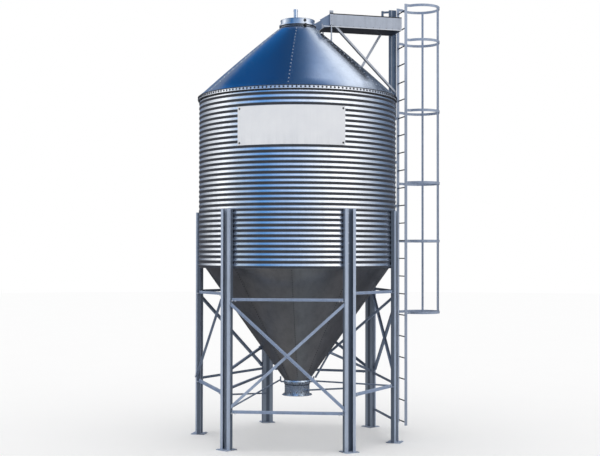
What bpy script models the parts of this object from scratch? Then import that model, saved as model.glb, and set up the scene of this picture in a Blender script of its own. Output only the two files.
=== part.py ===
"""A hopper-bottom grain bin on six legs, with a roof catwalk and a caged ladder.

Metres, +Z up. The bin's own axis is at BIN_AXIS, and the ladder stands on its +X side. Angles are
in degrees, counter-clockwise from +X around the bin's axis.
"""

import math

import bmesh
import bpy
from mathutils import Matrix, Vector

# Driving dimensions, in metres and degrees. OVERLAP is the overlap given to fused faces.
BIN_AXIS = Vector((-0.53966, -0.01647, 0.0))
GAP = 0.0003
OVERLAP = 0.001
FACET = 4.5
SEAM = -19.0

WALL_RADIUS = 2.055
WALL_DEPTH = 0.014
WALL_BOTTOM = 3.52
WALL_TOP = 7.03
WALL_COURSES = 3

EAVE_RADIUS = 2.078
EAVE_LIP = 0.045
EAVE_LIP_SHEET = 0.008
EAVE_PLATE = 0.012

ROOF_OVERHANG = 0.030
ROOF_CONE_RADIUS = 2.062
ROOF_SHEET = 0.008
ROOF_TOP = 8.494
ROOF_PANELS = 4

NECK_RADIUS = 0.416
NECK_BOTTOM = 8.425
NECK_TOP = 8.575
NECK_OPENING = 0.33
NECK_SHEET = 0.010
LID_RADIUS = 0.361
LID_TOP = 8.70
LID_SHEET = 0.008
LID_SIDES = 80
VENT_RADIUS = 0.045
VENT_TOP = 8.94
VENT_OFFSET = -0.035
VENT_SIDES = 24

HOPPER_LIP = 0.10
HOPPER_SHEET = 0.010
HOPPER_MEETS_WALL = 3.690
HOPPER_BOTTOM_RADIUS = 0.262
HOPPER_PANELS = 5

BOOT_BOTTOM = 0.87
BOOT_TOP = 1.185
BOOT_BORE = 0.245
BOOT_RADIUS = 0.260
BOOT_FLANGE_RADIUS = 0.312
BOOT_FLANGE = 0.015
BOOT_BAND_RADIUS = 0.275
BOOT_BAND = 0.085
BOOT_LUG_ANGLES = {"left": 165.0, "right": -15.0}
BOOT_LUG_RADIUS = 0.345
BOOT_LUG_SHEET = 0.030
BOOT_LUG_WIDTH = 0.040
BOOT_LUG_HEIGHT = 0.125
BOOT_LUG_BOTTOM = 1.125

LEG_ANGLES = {"a": 155.0, "b": 214.3, "c": 283.5, "d": 325.0, "f": 384.6, "e": 453.7}
LEG_WIDTH = 0.235
LEG_DEPTH = 0.100
LEG_SHEET = 0.006
LEG_LIP = 0.062
LEG_TOP = 4.68
FOOT_SIDE = 0.290
FOOT_PLATE = 0.012

ANGLE_LEG = 0.055
ANGLE_SHEET = 0.006
ROD_RADIUS = 0.017
STAY_SIDE = 0.045
STAY_LINK_SIDE = 0.030
PAD_WIDTH = 0.070
PAD_LENGTH = 0.090
PAD_HEIGHT = 0.055
PAD_HUB = 0.035

LADDER_X = 2.325
LADDER_WIDTH = 0.50
LADDER_BOTTOM = 0.17
LADDER_TOP = 9.15
STRINGER_DEPTH = 0.060
STRINGER_SHEET = 0.012
RUNG_RADIUS = 0.013
RUNG_SIDES = 6
BRACKET_SHEET = 0.010
BRACKET_HEIGHT = 0.060
LOWER_RUNGS = (0.234, 0.454, 6)
UPPER_RUNGS = (2.957, 0.379, 17)
WALL_BRACKETS = (4.85, 5.80, 6.75)

CAGE_RADIUS = 0.41
CAGE_CENTRE_X = 2.75
CAGE_BAND = 0.055
CAGE_SHEET = 0.008
CAGE_HOOPS = (2.562, 4.088, 5.333, 6.875, 8.380, 9.116)
CAGE_BAR_ANGLES = (-48.0, -6.0, 62.0)
CAGE_BAR_WIDTH = 0.045
CAGE_BAR_SHEET = 0.011
HOOP_STEPS = 22

WALK_START = 0.645
WALK_END = 2.21
WALK_WIDTH = 0.60
WALK_BOTTOM = 8.555
WALK_TOP = 8.84
WALK_SHEET = 0.008
WALK_NOSE = 0.40
WALK_NOSE_DROP = 0.15
WALK_DECK = 0.010
WALK_POST_TOP = 8.89
WALK_POST_HALF = 0.036
WALK_POST_REACH = 0.035
WALK_STRAP_HALF = 0.010
WALK_STRAP_REACH = 0.030
ROOF_PAD_LENGTH = 0.10
ROOF_PAD_WIDTH = 0.07
ROOF_PAD_HEIGHT = 0.022
STRUT_SIDE = 0.045
STRUT_INSET = 0.035
LONG_STRUT_X = 0.76
LONG_STRUT_FOOT = 7.38
SHORT_STRUT_X = (1.925, 1.375)

POST_X = (2.15, 2.305)
POST_Y = 0.055
POST_SHEET = 0.008
POST_BOTTOM = 6.78
POST_TOP = 9.12
GRAB_RAIL_X = 1.995
GRAB_RAIL_WIDTH = 0.040

SIGN_START = -140.5
SIGN_SWEEP = 63.0
SIGN_BOTTOM = 5.91
SIGN_TOP = 6.665
SIGN_SHEET = 0.006

COLOURS = {
    "corrugated_steel": ((0.55, 0.62, 0.72, 1.0), 0.9, 0.32),
    "roof_steel": ((0.20, 0.32, 0.50, 1.0), 0.9, 0.30),
    "hopper_steel": ((0.10, 0.10, 0.105, 1.0), 0.7, 0.55),
    "frame_steel": ((0.36, 0.43, 0.54, 1.0), 0.8, 0.45),
    "ladder_steel": ((0.30, 0.35, 0.44, 1.0), 0.8, 0.45),
    "walkway_steel": ((0.48, 0.54, 0.62, 1.0), 0.8, 0.45),
    "sign_sheet": ((0.78, 0.82, 0.88, 1.0), 0.0, 0.40),
}


def clear_scene():
    for obj in list(bpy.data.objects):
        bpy.data.objects.remove(obj, do_unlink=True)


def make_material(name):
    colour, metallic, roughness = COLOURS[name]
    material = bpy.data.materials.new(name)
    material.use_nodes = True
    shader = material.node_tree.nodes["Principled BSDF"]
    shader.inputs["Base Color"].default_value = colour
    shader.inputs["Metallic"].default_value = metallic
    shader.inputs["Roughness"].default_value = roughness
    return material


def around(radius, degrees, z):
    """The point at this radius and angle from the bin's axis."""
    angle = math.radians(degrees)
    return Vector((radius * math.cos(angle), radius * math.sin(angle), z))


def tangent(degrees):
    angle = math.radians(degrees)
    return Vector((-math.sin(angle), math.cos(angle), 0.0))


def nearest_facet(degrees):
    """The middle of the facet of the turned pieces that lies nearest this angle."""
    return SEAM + FACET * (math.floor((degrees - SEAM) / FACET) + 0.5)


def flat_radius(radius):
    """How far a facet's middle is from the axis, where its corners are at this radius."""
    return radius * math.cos(math.radians(FACET / 2))


def reach(radius, degrees):
    """How far a turned piece of this radius reaches in this direction."""
    turns = round((degrees - SEAM) / FACET)
    return radius * math.cos(math.radians(degrees - SEAM - turns * FACET))


def new_object(name, bm, material):
    """A smooth-shaded object on the bin's axis from this bmesh, its faces turned outward."""
    bmesh.ops.recalc_face_normals(bm, faces=bm.faces)
    mesh = bpy.data.meshes.new(name)
    bm.to_mesh(mesh)
    bm.free()
    mesh.shade_smooth()
    mesh.set_sharp_from_angle(angle=math.radians(30))
    mesh.materials.append(materials[material])
    obj = bpy.data.objects.new(name, mesh)
    bpy.context.scene.collection.objects.link(obj)
    obj.parent = bin_axis
    return obj


def fuse(name, pieces):
    """One object from overlapping pieces, by Boolean union."""
    whole = pieces[0]
    for helper in pieces[1:]:
        helper.hide_render = True
        helper.display_type = "WIRE"
        union = whole.modifiers.new("join_" + helper.name, "BOOLEAN")
        union.operation = "UNION"
        union.solver = "EXACT"
        union.object = helper
    graph = bpy.context.evaluated_depsgraph_get()
    joined = bpy.data.meshes.new_from_object(whole.evaluated_get(graph))
    whole.modifiers.clear()
    whole.data = joined
    for helper in pieces[1:]:
        bpy.data.objects.remove(helper, do_unlink=True)
    whole.name = name
    joined.name = name
    joined.shade_smooth()
    joined.set_sharp_from_angle(angle=math.radians(30))
    return whole


def turned(name, profile, material, start=SEAM, sweep=360.0):
    """The profile, a loop of (radius, z) points, turned about the bin's axis.

    A part turn is cut short by half a gap at each end, so that its neighbour doesn't touch it.
    """
    bm = bmesh.new()
    whole = sweep >= 360.0
    steps = round(sweep / FACET)
    rings = []
    for i in range(steps if whole else steps + 1):
        degrees = start + i * FACET
        trim = 0.0 if whole else GAP / 2 * ((i == 0) - (i == steps))
        shift = tangent(degrees) * trim
        rings.append([bm.verts.new(around(r, degrees, z) + shift) for r, z in profile])
    count = len(profile)
    for i in range(steps):
        low, high = rings[i], rings[(i + 1) % len(rings)]
        for k in range(count):
            after = (k + 1) % count
            bm.faces.new((low[k], low[after], high[after], high[k]))
    if not whole:
        bm.faces.new(rings[0])
        bm.faces.new(rings[-1][::-1])
    return new_object(name, bm, material)


def prism(name, outline, height, material):
    """The outline, a loop of (x, y) points, raised from z = 0 to this height."""
    bm = bmesh.new()
    low = [bm.verts.new((x, y, 0.0)) for x, y in outline]
    high = [bm.verts.new((x, y, height)) for x, y in outline]
    count = len(outline)
    for k in range(count):
        after = (k + 1) % count
        bm.faces.new((low[k], low[after], high[after], high[k]))
    bm.faces.new(low[::-1])
    bm.faces.new(high)
    return new_object(name, bm, material)


def block(name, corner, opposite, material):
    """A box between two corners, with its faces along the axes."""
    x0, y0, z0 = corner
    x1, y1, z1 = opposite
    obj = prism(name, [(x0, y0), (x1, y0), (x1, y1), (x0, y1)], z1 - z0, material)
    obj.data.transform(Matrix.Translation((0, 0, z0)))
    return obj


def frame_matrix(origin, x_axis, z_axis):
    """A placing matrix whose Z is z_axis and whose X lies as near x_axis as that allows."""
    z_axis = z_axis.normalized()
    y_axis = z_axis.cross(x_axis).normalized()
    x_axis = y_axis.cross(z_axis)
    rotation = Matrix((x_axis, y_axis, z_axis)).transposed()
    return Matrix.Translation(origin) @ rotation.to_4x4()


class EndPlane:
    """A plane that a bar is cut off at."""

    def __init__(self, point, normal):
        self.point = point
        self.normal = normal

    def meet(self, start, direction):
        along = (self.point - start).dot(self.normal) / direction.dot(self.normal)
        return start + direction * along


def bar(name, section, start, end, material, up=Vector((0, 0, 1))):
    """A bar with this (sideways, up) section from one end plane's point to the other's."""
    direction = (end.point - start.point).normalized()
    side = direction.cross(up).normalized()
    rise = side.cross(direction)
    bm = bmesh.new()
    loops = [], []
    for s, r in section:
        edge = start.point + side * s + rise * r
        loops[0].append(bm.verts.new(start.meet(edge, direction)))
        loops[1].append(bm.verts.new(end.meet(edge, direction)))
    count = len(section)
    for k in range(count):
        after = (k + 1) % count
        bm.faces.new((loops[0][k], loops[0][after], loops[1][after], loops[1][k]))
    bm.faces.new(loops[0][::-1])
    bm.faces.new(loops[1])
    return new_object(name, bm, material)


def angle_section(flat_start, outward):
    """An angle iron: its flat flange stands from flat_start, its other flange points outward."""
    half = ANGLE_LEG / 2
    flat = flat_start + outward * ANGLE_SHEET
    tip = flat_start + outward * ANGLE_LEG
    return [
        (flat_start, -half),
        (tip, -half),
        (tip, -half + ANGLE_SHEET),
        (flat, -half + ANGLE_SHEET),
        (flat, half),
        (flat_start, half),
    ]


def box_section(width, height):
    return [
        (-width / 2, -height / 2),
        (width / 2, -height / 2),
        (width / 2, height / 2),
        (-width / 2, height / 2),
    ]


def round_section(radius, sides=8):
    turn = 2 * math.pi / sides
    return [(radius * math.cos(turn * k), radius * math.sin(turn * k)) for k in range(sides)]


def build_walls():
    """Three courses, each of a front and a back sheet."""
    height = (WALL_TOP - WALL_BOTTOM) / WALL_COURSES
    for course in range(WALL_COURSES):
        bottom = WALL_BOTTOM + course * height + (GAP if course else 0)
        top = WALL_BOTTOM + (course + 1) * height
        profile = [
            (WALL_RADIUS - WALL_DEPTH, bottom),
            (WALL_RADIUS, bottom),
            (WALL_RADIUS, top),
            (WALL_RADIUS - WALL_DEPTH, top),
        ]
        level = ("lower", "middle", "upper")[course]
        for k, half in enumerate(("front", "back")):
            turned(f"wall_{level}_{half}", profile, "corrugated_steel", SEAM + 180 * (k - 1), 180)


def build_eave():
    """The angle ring that the roof's rim is bolted to."""
    base = WALL_TOP + GAP
    inner = WALL_RADIUS - WALL_DEPTH
    lip = EAVE_RADIUS - EAVE_LIP_SHEET
    profile = [
        (inner, base),
        (lip, base),
        (lip, base - EAVE_LIP),
        (EAVE_RADIUS, base - EAVE_LIP),
        (EAVE_RADIUS, base + EAVE_PLATE),
        (inner, base + EAVE_PLATE),
    ]
    turned("eave_ring", profile, "frame_steel")


def roof_height(radius):
    """The height of the roof's outer face over this radius."""
    base = WALL_TOP + 2 * GAP + EAVE_PLATE + ROOF_SHEET
    slope = (ROOF_TOP - base) / (ROOF_CONE_RADIUS - NECK_RADIUS - GAP)
    return base + (ROOF_CONE_RADIUS - radius) * slope


def build_roof():
    base = WALL_TOP + 2 * GAP + EAVE_PLATE
    opening = NECK_RADIUS + GAP
    profile = [
        (ROOF_CONE_RADIUS - 1.5 * ROOF_SHEET, base),
        (WALL_RADIUS + ROOF_OVERHANG, base),
        (WALL_RADIUS + ROOF_OVERHANG, base + ROOF_SHEET),
        (ROOF_CONE_RADIUS, base + ROOF_SHEET),
        (opening, ROOF_TOP),
        (opening, ROOF_TOP - 1.5 * ROOF_SHEET),
    ]
    sweep = 360 / ROOF_PANELS
    for k in range(ROOF_PANELS):
        turned(f"roof_quarter_{k + 1}", profile, "roof_steel", SEAM + k * sweep, sweep)


def build_neck_and_lid():
    """The turned-in ring round the fill opening, and the lid that sits on it, open underneath."""
    neck = [
        (NECK_RADIUS - NECK_SHEET, NECK_BOTTOM),
        (NECK_RADIUS, NECK_BOTTOM),
        (NECK_RADIUS, NECK_TOP),
        (NECK_OPENING, NECK_TOP),
        (NECK_OPENING, NECK_TOP - NECK_SHEET),
        (NECK_RADIUS - NECK_SHEET, NECK_TOP - NECK_SHEET),
    ]
    turned("neck_ring", neck, "frame_steel")
    rim = NECK_TOP + GAP
    inside = LID_RADIUS - LID_SHEET
    vent = turned_solid("lid_vent", VENT_RADIUS, LID_TOP - LID_SHEET / 2, VENT_TOP, VENT_SIDES)
    vent.data.transform(Matrix.Translation((VENT_OFFSET, 0, 0)))
    drum = turned_solid("cap_lid", LID_RADIUS, rim, LID_TOP, LID_SIDES)
    hollow = turned_solid("lid_hollow", inside, rim - LID_SHEET, LID_TOP - LID_SHEET, LID_SIDES)
    cut = drum.modifiers.new("hollow", "BOOLEAN")
    cut.operation = "DIFFERENCE"
    cut.solver = "EXACT"
    cut.object = hollow
    hollow.hide_render = True
    hollow.display_type = "WIRE"
    fuse("cap_lid", [drum, vent])
    bpy.data.objects.remove(hollow, do_unlink=True)


def turned_solid(name, radius, bottom, top, sides):
    """An upright cylinder on the bin's axis."""
    bm = bmesh.new()
    bmesh.ops.create_cone(
        bm, cap_ends=True, segments=sides, radius1=radius, radius2=radius, depth=top - bottom
    )
    obj = new_object(name, bm, "frame_steel")
    obj.data.transform(Matrix.Translation((0, 0, (bottom + top) / 2)))
    return obj


def hopper_rise():
    """How much the hopper climbs for each metre outward."""
    top_radius = WALL_RADIUS - WALL_DEPTH - GAP
    return (HOPPER_MEETS_WALL - BOOT_TOP - GAP) / (top_radius - HOPPER_BOTTOM_RADIUS)


def hopper_radius(z):
    return HOPPER_BOTTOM_RADIUS + (z - BOOT_TOP - GAP) / hopper_rise()


def build_hopper():
    top_radius = WALL_RADIUS - WALL_DEPTH - GAP
    profile = [
        (HOPPER_BOTTOM_RADIUS - HOPPER_SHEET, BOOT_TOP + GAP),
        (HOPPER_BOTTOM_RADIUS, BOOT_TOP + GAP),
        (top_radius, HOPPER_MEETS_WALL),
        (top_radius, HOPPER_MEETS_WALL + HOPPER_LIP),
        (top_radius - HOPPER_SHEET, HOPPER_MEETS_WALL + HOPPER_LIP),
        (top_radius - HOPPER_SHEET, HOPPER_MEETS_WALL),
    ]
    sweep = 360 / HOPPER_PANELS
    for k in range(HOPPER_PANELS):
        turned(f"hopper_panel_{k + 1}", profile, "hopper_steel", SEAM - 90 + k * sweep, sweep)


def boot_lug(side):
    """A tab on the boot's band that turns up beside the cone."""
    rooted = (BOOT_BAND_RADIUS + BOOT_RADIUS) / 2
    outer, inner = BOOT_LUG_RADIUS + BOOT_LUG_SHEET / 2, BOOT_LUG_RADIUS - BOOT_LUG_SHEET / 2
    outline = [
        (rooted, 0.0),
        (outer, 0.0),
        (outer, BOOT_LUG_HEIGHT),
        (inner, BOOT_LUG_HEIGHT),
        (inner, BOOT_LUG_SHEET),
        (rooted, BOOT_LUG_SHEET),
    ]
    lug = prism(f"boot_lug_{side}", outline, BOOT_LUG_WIDTH, "frame_steel")
    lug.data.transform(
        Matrix.Rotation(math.radians(BOOT_LUG_ANGLES[side]), 4, "Z")
        @ Matrix.Translation((0, BOOT_LUG_WIDTH / 2, BOOT_LUG_BOTTOM))
        @ Matrix.Rotation(math.radians(90), 4, "X")
    )
    return lug


def build_boot():
    band_bottom = BOOT_TOP - BOOT_BAND
    profile = [
        (BOOT_BORE, BOOT_BOTTOM),
        (BOOT_FLANGE_RADIUS, BOOT_BOTTOM),
        (BOOT_FLANGE_RADIUS, BOOT_BOTTOM + BOOT_FLANGE),
        (BOOT_RADIUS, BOOT_BOTTOM + BOOT_FLANGE),
        (BOOT_RADIUS, band_bottom),
        (BOOT_BAND_RADIUS, band_bottom),
        (BOOT_BAND_RADIUS, BOOT_TOP),
        (BOOT_BORE, BOOT_TOP),
    ]
    ring = turned("outlet_boot", profile, "frame_steel")
    fuse("outlet_boot", [ring, boot_lug("left"), boot_lug("right")])


def leg_matrix(leg):
    """Where a leg stands: local +X points outward from the wall, at the back of the channel."""
    degrees = LEG_ANGLES[leg]
    radius = reach(WALL_RADIUS, degrees) + GAP
    return Matrix.Translation(around(radius, degrees, 0)) @ Matrix.Rotation(
        math.radians(degrees), 4, "Z"
    )


def leg_outline():
    """A lipped channel, open outward."""
    half = LEG_WIDTH / 2
    lip = half - LEG_LIP
    inner = half - LEG_SHEET
    front = LEG_DEPTH - LEG_SHEET
    lower = [(0, -half), (LEG_DEPTH, -half), (LEG_DEPTH, -lip), (front, -lip), (front, -inner)]
    lower.append((LEG_SHEET, -inner))
    return lower + [(x, -y) for x, y in reversed(lower)]


def build_legs():
    for leg in LEG_ANGLES:
        channel = prism(f"leg_{leg}", leg_outline(), LEG_TOP - FOOT_PLATE / 2, "frame_steel")
        channel.data.transform(Matrix.Translation((0, 0, FOOT_PLATE / 2)))
        middle = LEG_DEPTH / 2
        half = FOOT_SIDE / 2
        plate = block(
            f"foot_{leg}",
            (middle - half, -half, 0),
            (middle + half, half, FOOT_PLATE),
            "frame_steel",
        )
        whole = fuse(f"leg_{leg}", [channel, plate])
        whole.location = leg_matrix(leg).translation
        whole.rotation_euler = (0, 0, math.radians(LEG_ANGLES[leg]))


def leg_side(leg, side, z, depth=LEG_DEPTH / 2):
    """The end plane on a leg's side face: side is 1 for its counter-clockwise face, -1 for the other."""
    matrix = leg_matrix(leg)
    point = matrix @ Vector((depth, side * (LEG_WIDTH / 2 + GAP), z))
    return EndPlane(point, tangent(LEG_ANGLES[leg]))


def leg_back(leg, z, across=0.0):
    """The end plane on a leg's inner face, under the wall."""
    point = leg_matrix(leg) @ Vector((-GAP, across, z))
    return EndPlane(point, around(1, LEG_ANGLES[leg], 0))


def build_rails():
    """Level angle irons between neighbouring legs, at two heights, and a kick rail by the ladder."""
    section = angle_section(-ANGLE_LEG / 2, 1)
    rails = {
        "top_rail_ab": ("a", 3.00, "b", 3.03),
        "top_rail_bc": ("b", 2.92, "c", 2.92),
        "top_rail_cd": ("c", 3.05, "d", 3.05),
        "top_rail_df": ("d", 3.05, "f", 3.05),
        "top_rail_fe": ("f", 3.02, "e", 3.02),
        "top_rail_ea": ("e", 3.02, "a", 3.02),
        "low_rail_ab": ("a", 1.15, "b", 1.10),
        "low_rail_bc": ("b", 0.745, "c", 0.745),
        "low_rail_cd": ("c", 1.09, "d", 1.16),
        "low_rail_df": ("d", 1.17, "f", 1.20),
        "low_rail_fe": ("f", 1.21, "e", 1.21),
        "low_rail_ea": ("e", 1.22, "a", 1.17),
        "kick_rail_df": ("d", 0.43, "f", 0.41),
    }
    for name, (first, z0, second, z1) in rails.items():
        bar(name, section, leg_side(first, 1, z0), leg_side(second, -1, z1), "frame_steel")


def diagonal(name, first, z0, second, z1, outward):
    section = angle_section(-OVERLAP * outward, outward)
    return bar(name, section, leg_side(first, 1, z0), leg_side(second, -1, z1), "frame_steel")


def build_diagonals():
    """Crossed pairs lie back to back and meet where they cross; two bays have one diagonal."""
    crossed = {
        "cross_brace_bc": ("b", 2.83, 0.84, "c", 2.83, 0.84),
        "cross_brace_df": ("d", 2.95, 1.28, "f", 2.95, 1.31),
        "cross_brace_fe": ("f", 2.92, 1.32, "e", 2.92, 1.32),
    }
    for name, (first, high0, low0, second, high1, low1) in crossed.items():
        falling = diagonal(name, first, high0, second, low1, 1)
        rising = diagonal(name + "_2", first, low0, second, high1, -1)
        fuse(name, [falling, rising])
    diagonal("brace_ab", "a", 1.26, "b", 2.93, 1)
    diagonal("brace_ea", "e", 1.31, "a", 2.92, 1)


def hopper_pad(name, degrees, z):
    """A small pad on the cone's outer face, and the point at its middle where bars meet it."""
    degrees = nearest_facet(degrees)
    radius = flat_radius(hopper_radius(z))
    slope = math.cos(math.radians(FACET / 2)) / hopper_rise()
    outward = (around(1, degrees, 0) - Vector((0, 0, slope))).normalized()
    matrix = frame_matrix(around(radius, degrees, z), tangent(degrees), outward)
    half_width, half_length = PAD_WIDTH / 2, PAD_LENGTH / 2
    corner, opposite = (-half_width, -half_length, GAP), (half_width, half_length, PAD_HEIGHT)
    pad = block(name, corner, opposite, "frame_steel")
    pad.data.transform(matrix)
    return pad, matrix @ Vector((0, 0, PAD_HUB))


def tie(name, start, end, section=None):
    return bar(name, section or round_section(ROD_RADIUS), start, end, "frame_steel")


def toward(point, other):
    return EndPlane(point, (other - point).normalized())


def build_stays():
    """Bars from the legs to pads on the cone, and ties from the legs to the boot's lugs."""
    section = box_section(STAY_SIDE, STAY_SIDE)
    link = box_section(STAY_LINK_SIDE, STAY_LINK_SIDE)
    pad, hub = hopper_pad("hopper_stay_right", -4.0, 1.76)
    high = leg_back("d", 2.93, 0.06)
    low = leg_back("f", 1.24, -0.06)
    beside = BOOT_LUG_RADIUS + BOOT_LUG_SHEET / 2 + STAY_LINK_SIDE / 2 + 0.005
    lug = around(beside, BOOT_LUG_ANGLES["right"], BOOT_LUG_BOTTOM + 0.8 * BOOT_LUG_HEIGHT)
    bars = [
        tie("stay_high", high, toward(hub, high.point), section),
        tie("stay_low", low, toward(hub, low.point), section),
        tie("stay_down", toward(lug, hub), toward(hub, lug), link),
    ]
    fuse("hopper_stay_right", [pad] + bars)
    pad, hub = hopper_pad("hopper_stay_left", 160.0, 1.86)
    start = leg_back("b", 1.50, -0.05)
    fuse("hopper_stay_left", [pad, tie("stay_left", start, toward(hub, start.point), section)])
    tie("cross_tie_be", leg_back("b", 1.16, -0.05), leg_back("e", 1.10, 0.05), section)
    tie("low_tie_be", leg_back("b", 1.06, -0.06), leg_back("e", 0.66, 0.06))
    build_boot_tie("boot_tie_b", "b", 0.78, "left", 1.175)
    build_boot_tie("boot_tie_d", "d", 1.14, "right", 1.155)
    collar = nearest_facet(-45.0)
    seat = around(flat_radius(BOOT_RADIUS) + GAP, collar, 0.98)
    tie("boot_tie_c", EndPlane(seat, around(1, collar, 0)), leg_back("c", 1.22))


def build_boot_tie(name, leg, z, side, lug_z):
    """A rod from a leg's inner face to the outer face of one of the boot's lugs."""
    degrees = BOOT_LUG_ANGLES[side]
    seat = around(BOOT_LUG_RADIUS + BOOT_LUG_SHEET / 2 + GAP, degrees, lug_z)
    tie(name, leg_back(leg, z), EndPlane(seat, around(1, degrees, 0)))


def rung_heights():
    heights = []
    for first, pitch, count in (LOWER_RUNGS, UPPER_RUNGS):
        heights += [first + pitch * k for k in range(count)]
    return heights


def build_ladder():
    """Two flat stringers with round rungs, held off the wall by brackets."""
    half = LADDER_WIDTH / 2
    pieces = []
    for side in (-1, 1):
        y0, y1 = sorted((side * half, side * (half - STRINGER_SHEET)))
        x0, x1 = LADDER_X - STRINGER_DEPTH / 2, LADDER_X + STRINGER_DEPTH / 2
        corner, opposite = (x0, y0, LADDER_BOTTOM), (x1, y1, LADDER_TOP)
        pieces.append(block(f"stringer_{side}", corner, opposite, "ladder_steel"))
    for k, z in enumerate(rung_heights()):
        inset = half - STRINGER_SHEET / 2
        start, end = Vector((LADDER_X, -inset, z)), Vector((LADDER_X, inset, z))
        pieces.append(
            bar(
                f"rung_{k}",
                round_section(RUNG_RADIUS, RUNG_SIDES),
                toward(start, end),
                toward(end, start),
                "ladder_steel",
            )
        )
    for k, z in enumerate(WALL_BRACKETS):
        pieces.append(wall_bracket(f"bracket_{k}", half - STRINGER_SHEET, z, LADDER_X))
    fuse("ladder", pieces)


def wall_bracket(name, y, z, end_x):
    """A flat bracket from the wall's outer face to end_x, beside the stringer at this y."""
    degrees = math.degrees(math.asin(y / WALL_RADIUS))
    normal = around(1, nearest_facet(degrees), 0)
    seat = normal * (flat_radius(WALL_RADIUS) + GAP)
    seat += tangent(nearest_facet(degrees)) * ((y - seat.y) / normal.x)
    start = EndPlane(Vector((seat.x, seat.y, z)), normal)
    end = EndPlane(Vector((end_x, seat.y, z)), Vector((1, 0, 0)))
    return bar(name, box_section(BRACKET_SHEET, BRACKET_HEIGHT), start, end, "ladder_steel")


def hoop_outline():
    """The cage hoop's plan, from one stringer round to the other."""
    half = LADDER_WIDTH / 2
    opening = 180 - math.degrees(math.asin(half / CAGE_RADIUS))
    points = []
    for k in range(HOOP_STEPS + 1):
        angle = math.radians(-opening + 2 * opening * k / HOOP_STEPS)
        x = CAGE_CENTRE_X + CAGE_RADIUS * math.cos(angle)
        points.append(Vector((x, CAGE_RADIUS * math.sin(angle), 0)))
    front = LADDER_X + STRINGER_DEPTH / 2 + GAP
    end_y = half - STRINGER_SHEET / 2
    return [Vector((front, -end_y, 0))] + points + [Vector((front, end_y, 0))]


def hoop(name, z):
    """A flat band bent along the hoop's plan."""
    plan = hoop_outline()
    bm = bmesh.new()
    loops = []
    for k, point in enumerate(plan):
        before, after = plan[max(k - 1, 0)], plan[min(k + 1, len(plan) - 1)]
        along = (after - before).normalized()
        if k in (0, len(plan) - 1):
            along = Vector((1, 0, 0)) * (1 if k == 0 else -1)
        side = Vector((along.y, -along.x, 0)) * CAGE_SHEET / 2
        low, high = Vector((0, 0, z - CAGE_BAND / 2)), Vector((0, 0, z + CAGE_BAND / 2))
        corners = (low - side, low + side, high + side, high - side)
        loops.append([bm.verts.new(point + corner) for corner in corners])
    for first, second in zip(loops, loops[1:]):
        for k in range(4):
            bm.faces.new((first[k], first[(k + 1) % 4], second[(k + 1) % 4], second[k]))
    bm.faces.new(loops[0][::-1])
    bm.faces.new(loops[-1])
    return new_object(name, bm, "ladder_steel")


def build_cage():
    """Hoops around the climber, joined by upright flat bars inside them."""
    pieces = [hoop(f"hoop_{k}", z) for k, z in enumerate(CAGE_HOOPS)]
    inset = CAGE_SHEET / 2
    bottom = CAGE_HOOPS[0] - CAGE_BAND / 2 + inset
    top = CAGE_HOOPS[-1] + CAGE_BAND / 2 - inset
    outer = CAGE_RADIUS - OVERLAP
    for k, degrees in enumerate(CAGE_BAR_ANGLES):
        corner = (outer - CAGE_BAR_SHEET, -CAGE_BAR_WIDTH / 2, bottom)
        strip = block(f"cage_bar_{k}", corner, (outer, CAGE_BAR_WIDTH / 2, top), "ladder_steel")
        turn = Matrix.Rotation(math.radians(degrees), 4, "Z")
        strip.data.transform(Matrix.Translation((CAGE_CENTRE_X, 0, 0)) @ turn)
        pieces.append(strip)
    fuse("ladder_cage", pieces)


def roof_foot(name, x, y):
    """A pad lying on the roof's outer face, and the matrix of its place there."""
    degrees = math.degrees(math.atan2(y, x))
    middle = nearest_facet(degrees)
    outward = around(1, middle, 0)
    fall = (roof_height(1.0) - roof_height(1.5)) / 0.5 / math.cos(math.radians(FACET / 2))
    height = roof_height(Vector((x, y, 0)).dot(outward) / math.cos(math.radians(FACET / 2)))
    normal = (outward * fall + Vector((0, 0, 1))).normalized()
    matrix = frame_matrix(Vector((x, y, height)), outward, normal)
    half_length, half_width = ROOF_PAD_LENGTH / 2, ROOF_PAD_WIDTH / 2
    corner, opposite = (-half_length, -half_width, GAP), (half_length, half_width, ROOF_PAD_HEIGHT)
    pad = block(name, corner, opposite, "walkway_steel")
    pad.data.transform(matrix)
    return pad, matrix


def walk_side(side):
    """One side panel of the catwalk, its nose cut down toward the lid."""
    y = side * WALK_WIDTH / 2
    outline = [
        (WALK_NOSE + 0.10, WALK_BOTTOM - 0.02),
        (WALK_START, WALK_BOTTOM),
        (WALK_END, WALK_BOTTOM),
        (WALK_END, WALK_TOP),
        (WALK_START, WALK_TOP),
        (WALK_NOSE, WALK_TOP - WALK_NOSE_DROP),
    ]
    panel = prism(f"walk_side_{side}", outline, WALK_SHEET, "walkway_steel")
    panel.data.transform(
        Matrix.Translation((0, max(y, y - side * WALK_SHEET), 0))
        @ Matrix.Rotation(math.radians(90), 4, "X")
    )
    return panel


def walk_upright(name, side, half_length, outward, bottom, top):
    """A flat upright at WALK_START, from the side panel's thickness outward."""
    inner = side * (WALK_WIDTH / 2 - WALK_SHEET / 2)
    outer = side * (WALK_WIDTH / 2 + outward)
    corner = (WALK_START - half_length, min(inner, outer), bottom)
    opposite = (WALK_START + half_length, max(inner, outer), top)
    return block(name, corner, opposite, "walkway_steel")


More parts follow.
